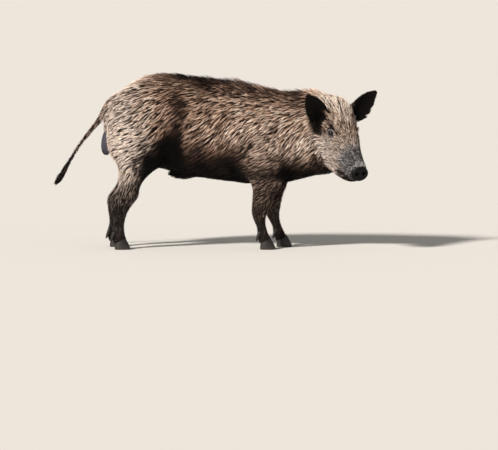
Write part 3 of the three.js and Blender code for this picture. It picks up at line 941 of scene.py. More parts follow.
# ---- skin
@dataclass
class Eye:
    """One eye: a ball with a swelling cornea, and the lids that hold it."""

    body: Body
    side: int
    facing: Triple = (0.53, 0.76, 0.37)  # the way the lids open
    gaze: Triple = (0.6, 0.63, 0.48)  # the way the pupil looks
    long: tuple[float, float] = (64, 62)  # degrees from the middle to the corners, nose side and ear side
    tall: tuple[float, float] = (50, 42)  # degrees up to the upper and down to the lower lid
    cornea: float = 0.9  # how far it swells
    heavy: float = 0.28  # how much wider the upper lid is than the lower
    rim_steps: tuple[float, ...] = (-3, -2.5, 0, 3, 8, 13, 16.5, 20, 26, 33, 12)  # degrees out from the opening
    rim_rise: tuple[float, ...] = (-1.6, 0.3, 1.5, 2.4, 3.1, 2.6, 1.7, 2.3, 1.9, -0.8, -2.2)  # and height there

    def __post_init__(self) -> None:
        """Makes the frames of the lids and the ball: outward, towards the nose, and up."""
        self.radius = self.body.head.eye_radius
        self.pose, self.ball_pose = self.framed(self.facing), self.framed(self.gaze)

    def framed(self, outward: Triple) -> Pose:
        """A frame at the eye's centre."""
        head = self.body.head
        out = unit(np.array(outward) * (1, self.side, 1))
        ahead = np.array([1, 0, -0.22])
        ahead = unit(ahead - ahead @ out * out)
        up = np.cross(out, ahead)
        up = up * np.sign(up[2])
        centre = head.pose.out(np.array([0, self.side * head.eye_out, 0.0]))
        return Pose(centre, head.pose.axes @ stacked(out, ahead, up))

    def rim(self, turn: Array) -> tuple[Array, Array]:
        """The opening's edge: an ellipse of its own in each quarter."""
        a = np.where(np.cos(turn) > 0, *self.long) * np.cos(turn)
        b = np.where(np.sin(turn) > 0, *self.tall) * power(np.sin(turn), 1.12)
        return np.radians(np.hypot(a, b)), np.arctan2(b, a)

    def around(self, polar: Array, bearing: Array, radius: Array) -> Array:
        """Points at angles from the lids' middle and distances from the eye's centre."""
        local = stacked(np.cos(polar), np.sin(polar) * np.cos(bearing), np.sin(polar) * np.sin(bearing))
        return self.pose.out(local * np.asarray(radius)[..., None])

    def ball(self) -> tuple[Shell, Array, Array]:
        """The eyeball, with each point's angle from the gaze and its distance from the slot of the pupil.

        Returns:
            The shell, the polar angle in degrees, and the pupil's measure.
        """

        def place(turn: Array, along: Array) -> Array:
            """A sphere that swells at the cornea, with a small hole left at each pole for the fans."""
            polar = np.pi * (0.012 + 0.976 * along)
            swell = self.cornea * (1 - eased(np.degrees(polar), 12, 46))
            local = stacked(np.cos(polar), np.sin(polar) * np.cos(turn), np.sin(polar) * np.sin(turn))
            return self.ball_pose.out(local * (self.radius + swell)[..., None])

        shell = tube(place, 40, 44)
        out, ahead, up = self.ball_pose.into(shell.points).T
        return shell, np.degrees(np.arctan2(np.hypot(ahead, up), out)), np.hypot(ahead / 1.45, up)

    def lids(self) -> Shell:
        """Both lids as one closed band round the opening: a thick rim, a fold, and a sunk outer edge."""
        sides, ring = 72, len(self.rim_steps)
        turn = np.repeat(np.arange(sides) * 2 * np.pi / sides, ring)
        steps, rise = np.tile(self.rim_steps, sides), np.tile(self.rim_rise, sides)
        polar, bearing = self.rim(turn)
        heavy = 1 + self.heavy * np.sin(turn)
        height = self.radius + rise * np.where(rise > 1, heavy, 1)
        points = self.around(polar + np.radians(steps * heavy), bearing, height)
        index = np.arange(sides * ring).reshape(sides, ring)
        after = np.roll(index, -1, 0)
        quads = stacked(index, after, np.roll(after, -1, 1), np.roll(index, -1, 1))
        return Shell(points, quads.reshape(-1, 4)).turned_out()

    def beyond(self, points: Array) -> tuple[Array, Array, Array, Array]:
        """Where places lie from the eye.

        Args:
            points: Any places.

        Returns:
            Distance from the centre, angle from the lids' middle, bearing, and degrees outside the opening.
        """
        out, ahead, up = self.pose.into(points).T
        polar, bearing = np.arctan2(np.hypot(ahead, up), out), np.arctan2(up, ahead)
        rim, at = self.rim(np.linspace(-np.pi, np.pi, 721))
        edge = np.interp(bearing, at[np.argsort(at)], rim[np.argsort(at)])
        return np.sqrt(out**2 + ahead**2 + up**2), polar, bearing, np.degrees(polar - edge)

    def lid_tone(self, points: Array) -> tuple[Array, Array]:
        """How bare a lid is, and how light: a dark wet edge, a pale lid, then dark folds round a bag, partly painted
        highlight and shade.

        Args:
            points: Places on the skin.

        Returns:
            The share and the lightness, both 0 away from this eye.
        """
        distance, _, bearing, past = self.beyond(points)
        past = past / (1 + self.heavy * np.sin(bearing))
        under = eased(-np.sin(bearing), 0.3, 0.8)
        over = 1 - under
        close = 1 - eased(distance, self.radius + 8, self.radius + 14)
        near = close * (1 - eased(past, 27 + 5 * over, 33 + 7 * over))
        # The pale rim by the opening is partly a painted highlight; the dark line over the eye, the dark fold and the
        # dark outer ring are partly painted shade in the creases and the inner corner
        tone = 0.72 + 0.5 * hill(past, 5, 4) - 0.7 * hill(past, 15.5, 2.6) + 0.6 * under * hill(past, 21, 4)
        tone = tone - 0.75 * (1 - eased(past, 0, 2)) - over * eased(past, 11, 16) - eased(past, 25, 31)
        return near, near * np.clip(tone, 0.02, 1.5)

    def open_skin(self, points: Array) -> Array:
        """Sinks the skin behind the opening into the ball, so that the lids' rims are its edge."""
        radius, polar, bearing, past = self.beyond(points)
        depth = np.interp(past, [9, 22, 30, 52], [-2.8, 1.0, 2.4, 22])
        cap = self.radius + depth
        inside = (radius > cap) & (radius < self.radius + 24) & (past < 52)
        return np.where(inside[:, None], self.around(polar, bearing, cap), points)


class Skin:
    """The one skin over all the flesh, with lids, folds, mouth and nostrils."""

    def __init__(self, body: Body, flesh: Flesh, eyes: Sequence[Eye]) -> None:
        """Builds the skin's shell.

        Args:
            body: Gives the frames and sizes.
            flesh: The joined distances.
            eyes: Both eyes.
        """
        self.body, self.flesh, self.eyes = body, flesh, eyes
        self.cover = self.refined(flesh.shell())
        for eye in eyes:
            self.cover.points = eye.open_skin(self.cover.points)
        self.shell = Shell.joined([self.cover, *(eye.lids() for eye in eyes)])

    def refined(self, shell: Shell) -> Shell:
        """Splits the faces round the eyes, nose and mouth, evens the points, and moves them into folds.

        Args:
            shell: The skin as it comes from the flesh.

        Returns:
            The finer shell.
        """
        mesh = bmesh.new()
        head, layout = self.body.head, bpy.data.meshes.new("draft")
        fill_mesh(layout, shell)
        mesh.from_mesh(layout)
        local = head.pose.into(shell.points)
        eye = np.linalg.norm(np.abs(local) - (0, head.eye_out, 0), axis=1) * np.where(local[:, 0] > -40, 1, 9)
        nose = np.linalg.norm(head.nose_pose.into(shell.points) / (20, 42, 34), axis=1)
        for near in ((eye < 30) | (nose < 1), (self.mouth(local)[1] > 0.1) & (nose > 1) & (eye > 30)):
            mesh.verts.ensure_lookup_table()
            chosen = set(np.flatnonzero(near).tolist())
            edges = [e for e in mesh.edges if e.verts[0].index in chosen and e.verts[1].index in chosen]
            bmesh.ops.subdivide_edges(mesh, edges=edges, cuts=1, use_grid_fill=True)
        bmesh.ops.triangulate(mesh, faces=[f for f in mesh.faces if len(f.verts) > 4])
        mesh.to_mesh(layout)
        mesh.free()
        fine = read_mesh(layout)
        bpy.data.meshes.remove(layout)
        fine.points = evened(fine, 2)
        return Shell(self.folded(fine), fine.quads, fine.triangles)

    def mouth(self, local: Array) -> tuple[Array, Array]:
        """Measures from the mouth line, which rises gently and turns up at its corner.

        Args:
            local: Places in the head's frame.

        Returns:
            The height above the line, and how near it each place is, from 0 to 1.
        """
        forward, level, rise = self.body.head.mouth
        f = local[:, 0]
        line = level + (f - forward) * math.tan(math.radians(rise))
        above = local[:, 2] - line - 5 * (1 - eased(f, forward - 8, forward + 22))
        along = eased(f, forward - 10, forward + 8) * (1 - eased(f, 184, 191))
        return above, along * hill(above, 0, 12)

    def folded(self, shell: Shell) -> Array:
        """Moves points in or out along the skin: mouth groove, lips, nose rim, nostrils and eye bags.

        Args:
            shell: The even shell.

        Returns:
            The moved points.
        """
        head, points = self.body.head, shell.points
        local = head.pose.into(points)
        way = self.flesh.slope(points)
        above, near = self.mouth(local)
        lips = -3.6 * hill(above, 0, 2.4) + 1.6 * hill(above, 6, 4) + 0.7 * hill(above, -6, 4)
        lift = np.where((local[:, 0] > -40) & (near > 0.05), near * lips, 0)
        depth, across, up = head.nose_pose.into(points).T
        ring = np.hypot(across / head.nose_size[1], up / head.nose_size[2])
        behind = hill(depth, -11, 3.2) * (ring < 1.4)
        lift = lift - 1.8 * behind * (0.5 + 0.5 * eased(up, -5, 15))
        lift = lift + 1.4 * hill(depth, -18, 4) * (ring < 1.5) * eased(up, -5, 15)
        for eye in self.eyes:
            out, ahead, up = eye.pose.into(points).T
            spread = np.hypot(ahead, up * np.where(up > 0, 1.25, 1.0))
            facing = (out > -6) & (spread < 40)
            below = eased(-up, 2, 10)
            bag = 1.5 * hill(spread, 20.5, 2.6) - 1.3 * hill(spread, 24.5, 2.0) + 0.9 * hill(spread, 28, 2.4)
            crow = 0.7 * np.sin(np.arctan2(up, -ahead) * 9) * hill(spread, 23, 6) * eased(-ahead, 4, 14)
            fold = 0.9 * (1 - below) * (hill(spread, 21, 2.4) - hill(spread, 25, 2))
            lift = lift + facing * (below * bag + fold + crow)
        points = points + way * lift[:, None]
        depth, across, up = head.nose_pose.into(points).T
        out, radius = head.nostril
        hole = np.hypot(np.abs(across) - out, up * (1 - 0.12 * np.sign(up)) - 0.12 * np.abs(across))
        sunk = 13 * (1 - eased(hole, 0.42 * radius, 1.22 * radius)) * (depth > -2)
        dish = 1.6 * hill(ring, 0.45, 0.4) * (depth > 2) - 1.3 * hill(across, 0, 3) * (depth > 2) * (ring < 0.9)
        return points - (sunk + dish)[:, None] * head.nose_pose.axes[:, 0]


def fill_mesh(mesh: bpy.types.Mesh, shell: Shell) -> None:
    """Puts a shell's points and faces into an empty mesh, smooth all over.

    Args:
        mesh: The empty mesh.
        shell: What to put in.
    """
    corners = np.concatenate([shell.quads.ravel(), shell.triangles.ravel()]).astype(np.int32)
    quads, count = len(shell.quads), len(shell.quads) + len(shell.triangles)
    starts = np.concatenate([np.arange(quads) * 4, quads * 4 + np.arange(count - quads) * 3])
    mesh.vertices.add(len(shell.points))
    mesh.vertices.foreach_set("co", shell.points.astype(np.float32).ravel())
    mesh.loops.add(len(corners))
    mesh.loops.foreach_set("vertex_index", corners)
    mesh.polygons.add(count)
    mesh.polygons.foreach_set("loop_start", starts.astype(np.int32))
    mesh.update(calc_edges=True)
    mesh.shade_smooth()


def read_mesh(mesh: bpy.types.Mesh) -> Shell:
    """Reads a mesh of quads and triangles.

    Args:
        mesh: The mesh.

    Returns:
        Its points and faces.
    """

    def read(rows: bpy.types.bpy_prop_collection, name: str, kind: type, width: int = 1) -> Array:
        """Reads one property of every row."""
        values = np.zeros(len(rows) * width, kind)
        rows.foreach_get(name, values)
        return values

    points, corners = read(mesh.vertices, "co", np.float32, 3), read(mesh.loops, "vertex_index", np.int32)
    starts, totals = (read(mesh.polygons, name, np.int32) for name in ("loop_start", "loop_total"))
    quads, triangles = (corners[starts[totals == n][:, None] + np.arange(n)].astype(int) for n in (4, 3))
    return Shell(points.reshape(-1, 3).astype(float), quads, triangles)


def evened(shell: Shell, rounds: int) -> Array:
    """Moves each point part of the way to the middle of its neighbours, and most of the way back.

    Args:
        shell: The shell.
        rounds: How many times.

    Returns:
        The moved points.
    """
    edges = [shell.quads[:, [i, (i + 1) % 4]] for i in range(4)]
    edges += [shell.triangles[:, [i, (i + 1) % 3]] for i in range(3)]
    a, b = np.concatenate(edges).T
    points, size = shell.points, len(shell.points)
    count = np.bincount(a, minlength=size) + np.bincount(b, minlength=size)
    for share in (0.5, -0.46) * rounds:
        total = stacked(*(np.bincount(a, p[b], size) + np.bincount(b, p[a], size) for p in points.T))
        points = points + share * (total / count[:, None] - points)
    return points


# ---- claws
@dataclass
class Foot:
    """The two main claws and two dewclaws under one leg."""

    body: Body
    leg: Leg
    spread: float = 14.8
    narrow: float = 0.28
    ring: float = 0.15  # how proud the growth rings stand
    dew_top: float = 72
    dew_tip: float = 33
    dew_reach: float = 15
    dew_spread: float = 17
    dew_half: float = 7.4
    dew_ring: float = 0.015  # how proud its rings stand, as a share of its half width

    def claw(self, offset: int) -> Shell:
        """A main claw: a flat sole with a bevelled edge, and walls with rings up to the coronet."""
        level, *edges = CLAW.at(np.linspace(0, 1, 60))
        hair_line = self.body.under_coronet(self.leg)
        heel, slant = self.leg.heel, math.cos(math.radians(self.body.coronet_slant))

        def place(turn: Array, along: Array) -> Array:
            """Level ellipses between the back and front edges, narrowed at the front, up to the hair line."""
            top = hair_line(stacked(heel + 30 + 28 * np.cos(turn), 0.0, 0.0)) / slant + 1.5
            z = top * np.clip(along * 1.04 - 0.02, 0, 1) ** 0.9
            back, front, half = (np.interp(z, level, edge) for edge in edges)
            proud = 1 + self.ring / 14 * np.sin(z * 2 * np.pi / HORN_RING) * eased(z, 4, 9)
            narrow = 1 - self.narrow * np.maximum(0, np.cos(turn)) ** 2
            x = heel + (front + back) / 2 + (front - back) / 2 * np.cos(turn) * proud
            y = self.leg.out + offset * self.spread + half * proud * np.sin(turn) * narrow
            return stacked(x, self.leg.side * y, np.maximum(z, 0))

        return tube(place, 32, 26)

    def dewclaw(self, offset: int) -> Shell:
        """A blunt, ringed cone that points down and back behind the pastern."""

        def place(turn: Array, along: Array) -> Array:
            """Level circles that draw in towards the tip."""
            blunt = self.dew_half * (1 - 0.5 * along**2) * np.sqrt(1 - 0.96 * along**7)
            blunt = blunt * (1 + self.dew_ring * np.sin(along * 40))
            x = self.leg.heel - self.dew_reach * along + blunt * np.cos(turn)
            y = self.leg.out + offset * self.dew_spread + blunt * np.sin(turn)
            return stacked(x, self.leg.side * y, self.dew_top + (self.dew_tip - self.dew_top) * along)

        return tube(place, 20, 18)


# ---- coat
@dataclass
class Growth:
    """Everything about a set of tufts, one row for each."""

    root: Array
    out: Array  # the way out of the skin
    way: Array  # the way that the tuft lies
    long: Array
    wide: Array
    rise: Array  # the tip's height over the skin
    pull: Array  # how far aside the lock's middle is
    light: Array
    grey: Array
    part: Array

    def chosen(self, keep: Array) -> "Growth":
        """The rows that are kept."""
        return Growth(**{name: value[keep] for name, value in vars(self).items()})


class Coat:
    """Tufts of bristle over the skin: thin three-sided blades that overlap and lie along the body."""

    RINGS = np.array([0.0, 0.34, 0.7])  # places of a tuft's rings along it
    GIRTH = np.array([0.8, 1.0, 0.66])  # their widths
    GATHER = np.array([0.0, 0.34, 0.6, 0.7])  # how far each ring and the tip close on the lock's middle
    SUNK = 1.6  # how deep a root is in the skin
    BLOCK = 46.0  # the size of the blocks that locks are laid out in
    LOCK = ((8, 16, 36), (4.2, 6.4, 11.5))  # a tuft's length, and how wide its lock is
    PATCH = 0.003  # a tuft's width on the bake map
    LASHES = 60
    NECK = ((340, 400, 450, 492, 524), (-8, -24, -47, -76, -108))  # x and y of the neck's middle
    TRUNK_CUTS = {
        "rump": (-999, -200), "loin": (-200, -40), "ribs": (-40, 120), "shoulder": (120, 280), "neck": (280, 999),
    }  # fmt: skip

    def __init__(self, body: Body, skin: Skin, markings: MarkingsAndPaintedLight) -> None:
        """Keeps what the tufts grow on."""
        self.body, self.skin, self.markings = body, skin, markings
        self.draw = np.random.default_rng(SEED)

    def shares(self, points: Array) -> Shares:
        """How much each part has of each place, by how near its solid is."""
        distance = np.stack([solid.distance(points) for solid in self.body.solids.values()])
        near = np.exp(-(distance - distance.min(0)) / 5.0)
        return dict(zip(self.body.solids, near / near.sum(0)))

    def measures(self, points: Array, shares: Shares) -> list[Array]:
        """Length of the tufts, height of their tips over the skin, and distance between roots.

        Args:
            points: Places on the skin.
            shares: How much each part has of each place.

        Returns:
            The three measures in millimetres, one value each for every place.
        """
        x, _, z = points.T
        f, left, u = self.body.head.pose.into(points).T
        up = self.markings.height(points)
        crest = eased(up, 0.9, 0.96) * eased(x, -330, -230)
        mane = np.interp(x, *TRUNK.columns(0, 7))
        sheath = hill(x, -112, 34) * (1 - eased(up, 0.02, 0.1))
        back = np.interp(x, [-380, -200, 400, 520], [26, 36, 36, 30])
        trunk = (
            back - 6 * (1 - eased(up, 0.05, 0.3)) + 16 * crest - 18 * sheath,
            8.4 + 1.1 * mane * crest - 3 * sheath,
            4.5 - 1.1 * crest,
        )
        cheek = hill(f, -50, 60) * eased(-u, 20, 80)
        eye = eased(np.linalg.norm(stacked(f, np.abs(left) - self.body.head.eye_out, u), axis=1), 16, 46)
        thin = 0.4 + 0.6 * eye  # short hair round the eyes
        face = (
            (np.interp(f, [-150, -80, -30, 20, 70, 120, 190], [34, 27, 17, 12, 9, 7, 4.5]) + 7 * cheek) * thin,
            (np.interp(f, [-150, -60, 40, 120, 175, 192], [12, 9, 4.2, 2.2, 1.2, 0.7]) + 1.2 * cheek) * thin,
            np.interp(f, [-150, -30, 60, 190], [3.8, 2.7, 2.4, 2.2]) * (0.75 + 0.25 * eye),
        )
        leg = (
            np.interp(z, [24, 60, 150, 250, 420], [8, 9, 13, 22, 36]),
            np.interp(z, [24, 60, 150, 320, 480], [1.8, 2.3, 3.6, 6.4, 8.4]),
            np.interp(z, [24, 150, 420], [3.5, 4.0, 4.6]),
        )
        tail = (np.interp(z, [258, 300, 360, 540], [34, 40, 18, 24]), np.interp(z, [258, 330, 540], [5, 4, 4]), 3.8)
        found = {Part.TRUNK: trunk, Part.HEAD: face, Part.TAIL: tail, **dict.fromkeys(self.body.legs, leg)}
        total = [np.zeros(len(points)) for _ in range(3)]
        for part, share in shares.items():
            total = [t + share * one for t, one in zip(total, found.get(part, (11, 2.2, 3.4)))]
        return total

    def ways(self, points: Array, out: Array, shares: Shares) -> Array:
        """The lie of the coat: back and down on the body, to the crown on the face, down the legs.

        The face's hair also turns away from each eye, as a ray does in a mirror.

        Args:
            points: Places on the skin.
            out: The way out of the skin at each.
            shares: How much each part has of each place.

        Returns:
            Unit ways along the skin.
        """
        x, _, z = points.T
        head = self.body.head
        up = self.markings.height(points)
        dip = 14 + 32 * hill(up, 0.5, 0.36) + 10 * eased(-x, 180, 340) * eased(0.75 - up, 0, 0.4)
        dip = np.radians(dip + 7 * waves(points, 160, 8))
        heading = np.radians(np.interp(x, [270, 340, 400, 450, 492, 524], [-3, -9, -20, -32, -42, -48]))
        trunk = stacked(-np.cos(dip) * np.cos(heading), -np.cos(dip) * np.sin(heading), -np.sin(dip))
        local = head.pose.into(points)
        f, left, u = local.T
        side = np.sign(left)
        ray = local - stacked(0.0, side * head.eye_out, 0.0)
        near = np.minimum(1, (20 / np.linalg.norm(ray, axis=1)) ** 2)[:, None]
        drop = 0.75 * eased(-u, 10, 90) * eased(60 - f, 0, 80) - 0.22 * eased(u, 0, 50)
        face, ray = unit(stacked(-1.0, 0.22 * side * hill(u, 40, 60), -drop)), unit(ray)
        face = (face * (1 + near) - 2 * near * (face * ray).sum(1, keepdims=True) * ray) @ head.pose.axes.T
        fore = eased(z, 130, 210) * (1 - eased(z, 330, 420))
        swept = 0.18 + 0.75 * fore * (x > 0) + 0.5 * eased(z, 200, 330) + 1.5 * eased(z, 300, 430)
        leg = unit(stacked(-swept, 0.0, -1 + 0.35 * fore * (x > 0)))
        line = np.array(TAIL.rows)[:, :2]
        slope = unit(np.gradient(line, axis=0))
        tail = stacked(np.interp(-z, -line[:, 1], slope[:, 0]), 0.0, np.interp(-z, -line[:, 1], slope[:, 1]))
        found = {Part.TRUNK: trunk, Part.HEAD: face, Part.TAIL: tail, **dict.fromkeys(self.body.legs, leg)}
        found |= {ear: head.ear_pose(ear.side).axes[:, 2] for ear in EARS}
        total = sum(share[:, None] * found[part] for part, share in shares.items())
        return unit(total - (total * out).sum(1, keepdims=True) * out)

    def grown(self) -> Growth:
        """Spreads roots over the skin by area and spacing, and gives each tuft its sizes and way."""
        cover, draw = self.skin.cover, self.draw
        faces = np.concatenate([cover.quads[:, [0, 1, 2]], cover.quads[:, [0, 2, 3]], cover.triangles])
        halves = np.concatenate([np.tile(np.arange(len(cover.quads)), 2), np.arange(len(cover.triangles))])
        corners = cover.points[faces[np.argsort(halves, kind="stable")]]
        across = np.cross(corners[:, 1] - corners[:, 0], corners[:, 2] - corners[:, 0])
        middle = corners.mean(1)
        shares = self.shares(middle)
        _, _, gap = self.measures(middle, shares)
        _, bare, _ = self.markings.hide(middle, shares)
        area = np.linalg.norm(across, axis=1) / 2
        weight = area / gap**2 * (1 - eased(bare, 0.1, 0.6)) * (1 - self.under_foot(middle))
        total = np.cumsum(weight)
        count = int(total[-1])
        face = np.searchsorted(total, (np.arange(count) + draw.uniform(0, 1, count)) * total[-1] / count)
        corner = corners[np.minimum(face, len(weight) - 1)]
        a, b = draw.uniform(0, 1, (2, count))
        a, b = np.where(a + b > 1, 1 - a, a), np.where(a + b > 1, 1 - b, b)
        first, second = corner[:, 1] - corner[:, 0], corner[:, 2] - corner[:, 0]
        root = corner[:, 0] + a[:, None] * first + b[:, None] * second
        out = self.skin.flesh.slope(root, 4.0)
        shares = self.shares(root)
        long, rise, _ = self.measures(root, shares)
        way = self.ways(root, out, shares)
        light, grey = self.markings.tone(root + way * (0.6 * long)[:, None], shares)
        swing = np.radians(draw.normal(0, 7, count) + 9 * waves(root, 34, 9))[:, None]
        way = way * np.cos(swing) + np.cross(out, way) * np.sin(swing)
        part = np.argmax(np.stack(list(shares.values())), axis=0)
        size = np.interp(long, *self.LOCK)
        lock, aside = self.locks(root, out, way, part, size)
        kind = draw.normal(0, 1, lock.max() + 1)[lock]
        # Tufts are darker towards a lock's edges and lighter at its middle: partly the locks' own streaks, partly
        # painted shade in the gaps between locks and painted highlight on their crowns
        edge = (2 * np.abs(aside) / size) ** 1.3
        light = light * (1.84 - 2.84 * edge + 0.3 * kind + 0.14 * draw.normal(0, 1, count))
        long = long * np.clip(draw.normal(1.04, 0.12, count) - 0.22 * edge, 0.6, 1.5)
        rise = rise * np.clip(draw.normal(1.02, 0.1, count) - 0.6 * edge + 0.1 * kind, 0.2, 1.25)
        wide = (0.95 + 0.058 * long) * draw.uniform(0.75, 1.2, count)
        lid = sum(Eye(self.body, side).lid_tone(root + way * long[:, None])[0] for side in SIDES.values())
        grey = np.clip(grey + 0.1 * draw.normal(0, 1, count), 0, 2)
        long = long * (1 - 0.4 * np.clip(lid, 0, 1))
        growth = Growth(root, out, way, long, wide, rise, -aside, np.clip(light, 0, 1.5), grey, part)
        return growth.chosen(lid < 0.4)

    def locks(self, root: Array, out: Array, way: Array, part: Array, size: Array) -> tuple[Array, Array]:
        """Shares the roots out among locks: strips along the coat's lie, cut to lengths like bricks.

        The skin is split in blocks. Each block's mean lie and mean outward way give a flat frame, where
        a root's column is its place across over the lock's width, and its row its place along.

        Args:
            root: The roots.
            out: The way out of the skin at each.
            way: The lie of each tuft.
            part: The part number of each root.
            size: The locks' width at each root.

        Returns:
            A lock's number for each root, and how far aside of the lock's middle it lies.
        """

        def numbered(*columns: Array) -> Array:
            """Gives each different row a number of its own."""
            return np.unique(stacked(*columns), axis=0, return_inverse=True)[1].ravel()

        warp = stacked(*(waves(root, 40, 40 + i) for i in range(3)))
        block = numbered(*np.floor((root + 9 * warp) / self.BLOCK).T, part)
        count = np.bincount(block)[block][:, None]
        centre, mean_out, mean_way = (
            stacked(*(np.bincount(block, column)[block] for column in rows.T)) / count for rows in (root, out, way)
        )
        mean_way = unit(mean_way)
        place = root - centre
        aside = (place * unit(np.cross(mean_out, mean_way))).sum(1) + 0.3 * size * waves(root, 22, 44)
        column = np.floor(aside / size)
        along = (place * mean_way).sum(1) / (2.6 * size) + 0.37 * column + 0.61 * block
        return numbered(block, column, np.floor(along)), aside - (column + 0.5) * size

    def whiskers(self, side: int) -> Growth:
        """Lashes on the upper lid, and long bristles on lip, chin and brow, that stand free of the coat.

        Args:
            side: 1 on the left, −1 on the right.

        Returns:
            The hairs.
        """
        draw, head, lashes = self.draw, self.body.head, self.LASHES
        eye = Eye(self.body, side)
        polar, bearing = eye.rim(np.radians(draw.uniform(8, 168, lashes)))
        lash = eye.around(polar + math.radians(3), bearing, np.full(lashes, eye.radius + 1.8))
        level = eye.around(polar + math.radians(20), bearing, np.full(lashes, eye.radius + 6.5))
        points = self.skin.cover.points
        f, left, u = head.pose.into(points).T
        above, _ = self.skin.mouth(stacked(f, left, u))
        lip = (f > 66) & (f < 176) & (above > 5) & (above < 34)
        chin = (f > 66) & (f < 168) & (above < -8) & (above > -44)
        brow = (f > -26) & (f < 14) & (u > 22) & (u < 36) & (np.abs(left) > 34)
        own = left * side > 6
        chosen = [draw.choice(np.flatnonzero(place & own), many) for place, many in ((lip, 46), (chin, 30), (brow, 16))]
        bristle = points[np.concatenate(chosen)]
        many = len(bristle)
        back = head.pose.axes @ np.array([-1.0, 0.25 * side, -0.25])
        way = unit(self.skin.flesh.slope(bristle, 4.0) * draw.uniform(0.5, 1.1, (many, 1)) + back)
        root, way = np.concatenate([lash, bristle]), np.concatenate([unit(level - lash), way])
        long = np.concatenate([draw.uniform(7, 12, lashes), draw.uniform(17, 34, many)])
        light = np.concatenate([np.full(lashes, 0.05), draw.choice([0.1, 0.9, 1.2], many)])
        wide = np.repeat([0.9, 0.8], [lashes, many])
        out = unit(np.cross(np.cross(way, root - head.pose.origin), way))
        flat = np.zeros(lashes + many)
        return Growth(root, out, way, long, wide, 0.12 * long, flat, light, flat + 0.6, flat + Part.HEAD.value)

    def under_foot(self, points: Array) -> Array:
        """How much of each place is the underside of a foot, where claws take over.

        Args:
            points: Places on the skin.

        Returns:
            1 or 0 for each place.
        """
        hidden = np.zeros(len(points))
        for leg in self.body.legs.values():
            near = np.abs(points[:, 0] - leg.heel - self.body.claw_long / 2) < 60
            below = self.body.under_coronet(leg)(points) > -1.2
            hidden = np.maximum(hidden, near & (points[:, 1] * leg.side > 0) & below)
        return hidden

    def blades(self, growth: Growth, free: bool = False) -> tuple[Array, Array]:
        """Every tuft's ten points, and how far along the tuft each lies.

        A tuft's line leaves the root along its way and rises as 1 − (1 − s)^1.9 of its height.
        Its height over the skin is then measured, and each ring moved so that it keeps it.

        Args:
            growth: The tufts.
            free: Whether they stand free of the skin.

        Returns:
            Points (tufts, 10, 3) and shares (10,).
        """
        places = np.append(self.RINGS, 1.0)
        height = -self.SUNK + (growth.rise[:, None] + self.SUNK) * (1 - (1 - places) ** 1.9)
        line = growth.root[:, None] + growth.way[:, None] * (growth.long[:, None] * places)[..., None]
        line = line + growth.out[:, None] * height[..., None]
        side = unit(np.cross(growth.out, growth.way))[:, None]
        line = line + side * growth.pull[:, None, None] * self.GATHER[:, None]
        flesh = self.skin.flesh
        for ring in () if free else (1, 2, 3):
            points = line[:, ring]
            error = np.clip(height[:, ring] - flesh.distance(points), -9, 9)
            line[:, ring] = points + flesh.slope(points, 4.0) * error[:, None]
        half = (growth.wide[:, None] / 2 * self.GIRTH)[..., None]
        rings = line[:, :3]
        ridge = growth.out[:, None] * half * 0.62
        points = np.stack([rings - side * half, rings + ridge, rings + side * half], 2)
        points = np.concatenate([points.reshape(len(line), 9, 3), line[:, 3:]], 1)
        return points, np.append(np.repeat(self.RINGS, 3), 1.0)

    def paint(self, growth: Growth, along: Array) -> Array:
        """Colours of every tuft's points: black-brown at the root, partly painted shade deep in the coat, the place's
        tone at the tip.
        """
        tips = self.markings.tips(growth.light, growth.grey)[:, None]
        share = (0.06 + 0.94 * eased(along, 0.08, 0.62))[None, :, None]
        return self.markings.rgb["root"] * (1 - share) + tips * share

    def unwrapped(self, points: Array, part: Part) -> Array:
        """Places on the skin laid flat: length against girth round the part's own middle line.

        Args:
            points: Roots on the part.
            part: The part.

        Returns:
            Two flat coordinates, each stretched to fill 0 to 1.
        """
        (x, y, z), head = points.T, self.body.head
        if part is Part.TRUNK:
            at, middle, top, low = TRUNK.columns(0, 1, 3, 4)
            flat = x, np.arctan2(y - np.interp(x, at, middle), z - np.interp(x, at, (top + low) / 2))
        elif part is Part.HEAD:
            f, left, u = head.pose.into(points).T
            flat = f, np.arctan2(left, u + 50)
        elif part in self.body.legs:
            middle = self.body.legs[part].middle(z)
            flat = z, np.arctan2(x - middle[:, 0], y - middle[:, 1])
        elif part is Part.TAIL:
            line, at = TAIL.columns(0, 1)[:, ::-1]
            flat = z, np.arctan2(y, x - np.interp(z, at, line))
        else:
            hollow, across, along = head.ear_pose(part.side).into(points).T
            front = hollow > head.ear_sheet(across, along / head.ear_length)
            flat = along, across + 110 * front
        flat = stacked(*flat)
        low, high = flat.min(0), flat.max(0)
        return (flat - low) / np.maximum(high - low, 1e-6) * (1 - 1.4 * self.PATCH)

    def pieces(self, growth: Growth) -> dict[str, tuple[Part, Growth]]:
        """The tufts shared out among named pieces by part, side and place along the body.

        Args:
            growth: All the tufts.

        Returns:
            Each piece's part and tufts, by its name.
        """
        x, y, _ = growth.root.T
        f, across, _ = self.body.head.pose.into(growth.root).T
        sides = {Part.TRUNK: y > np.interp(x, *self.NECK), Part.HEAD: across > 0}
        made = {}
        for number, part in enumerate(self.body.solids):
            own = growth.part == number
            if part is Part.TRUNK:
                for name, (low, high) in self.TRUNK_CUTS.items():
                    for side, keep in (("left", sides[part]), ("right", ~sides[part])):
                        made[f"coat_{name}_{side}"] = part, own & (x >= low) & (x < high) & keep
            elif part is Part.HEAD:
                for side, keep in (("left", sides[part]), ("right", ~sides[part])):
                    made[f"coat_cheek_{side}"] = part, own & keep & (f < -14)
                    made[f"coat_face_{side}"] = part, own & keep & (f >= -14)
            else:
                made[f"coat_{part.name.lower()}"] = part, own
        return {name: (part, growth.chosen(keep)) for name, (part, keep) in made.items() if keep.any()}


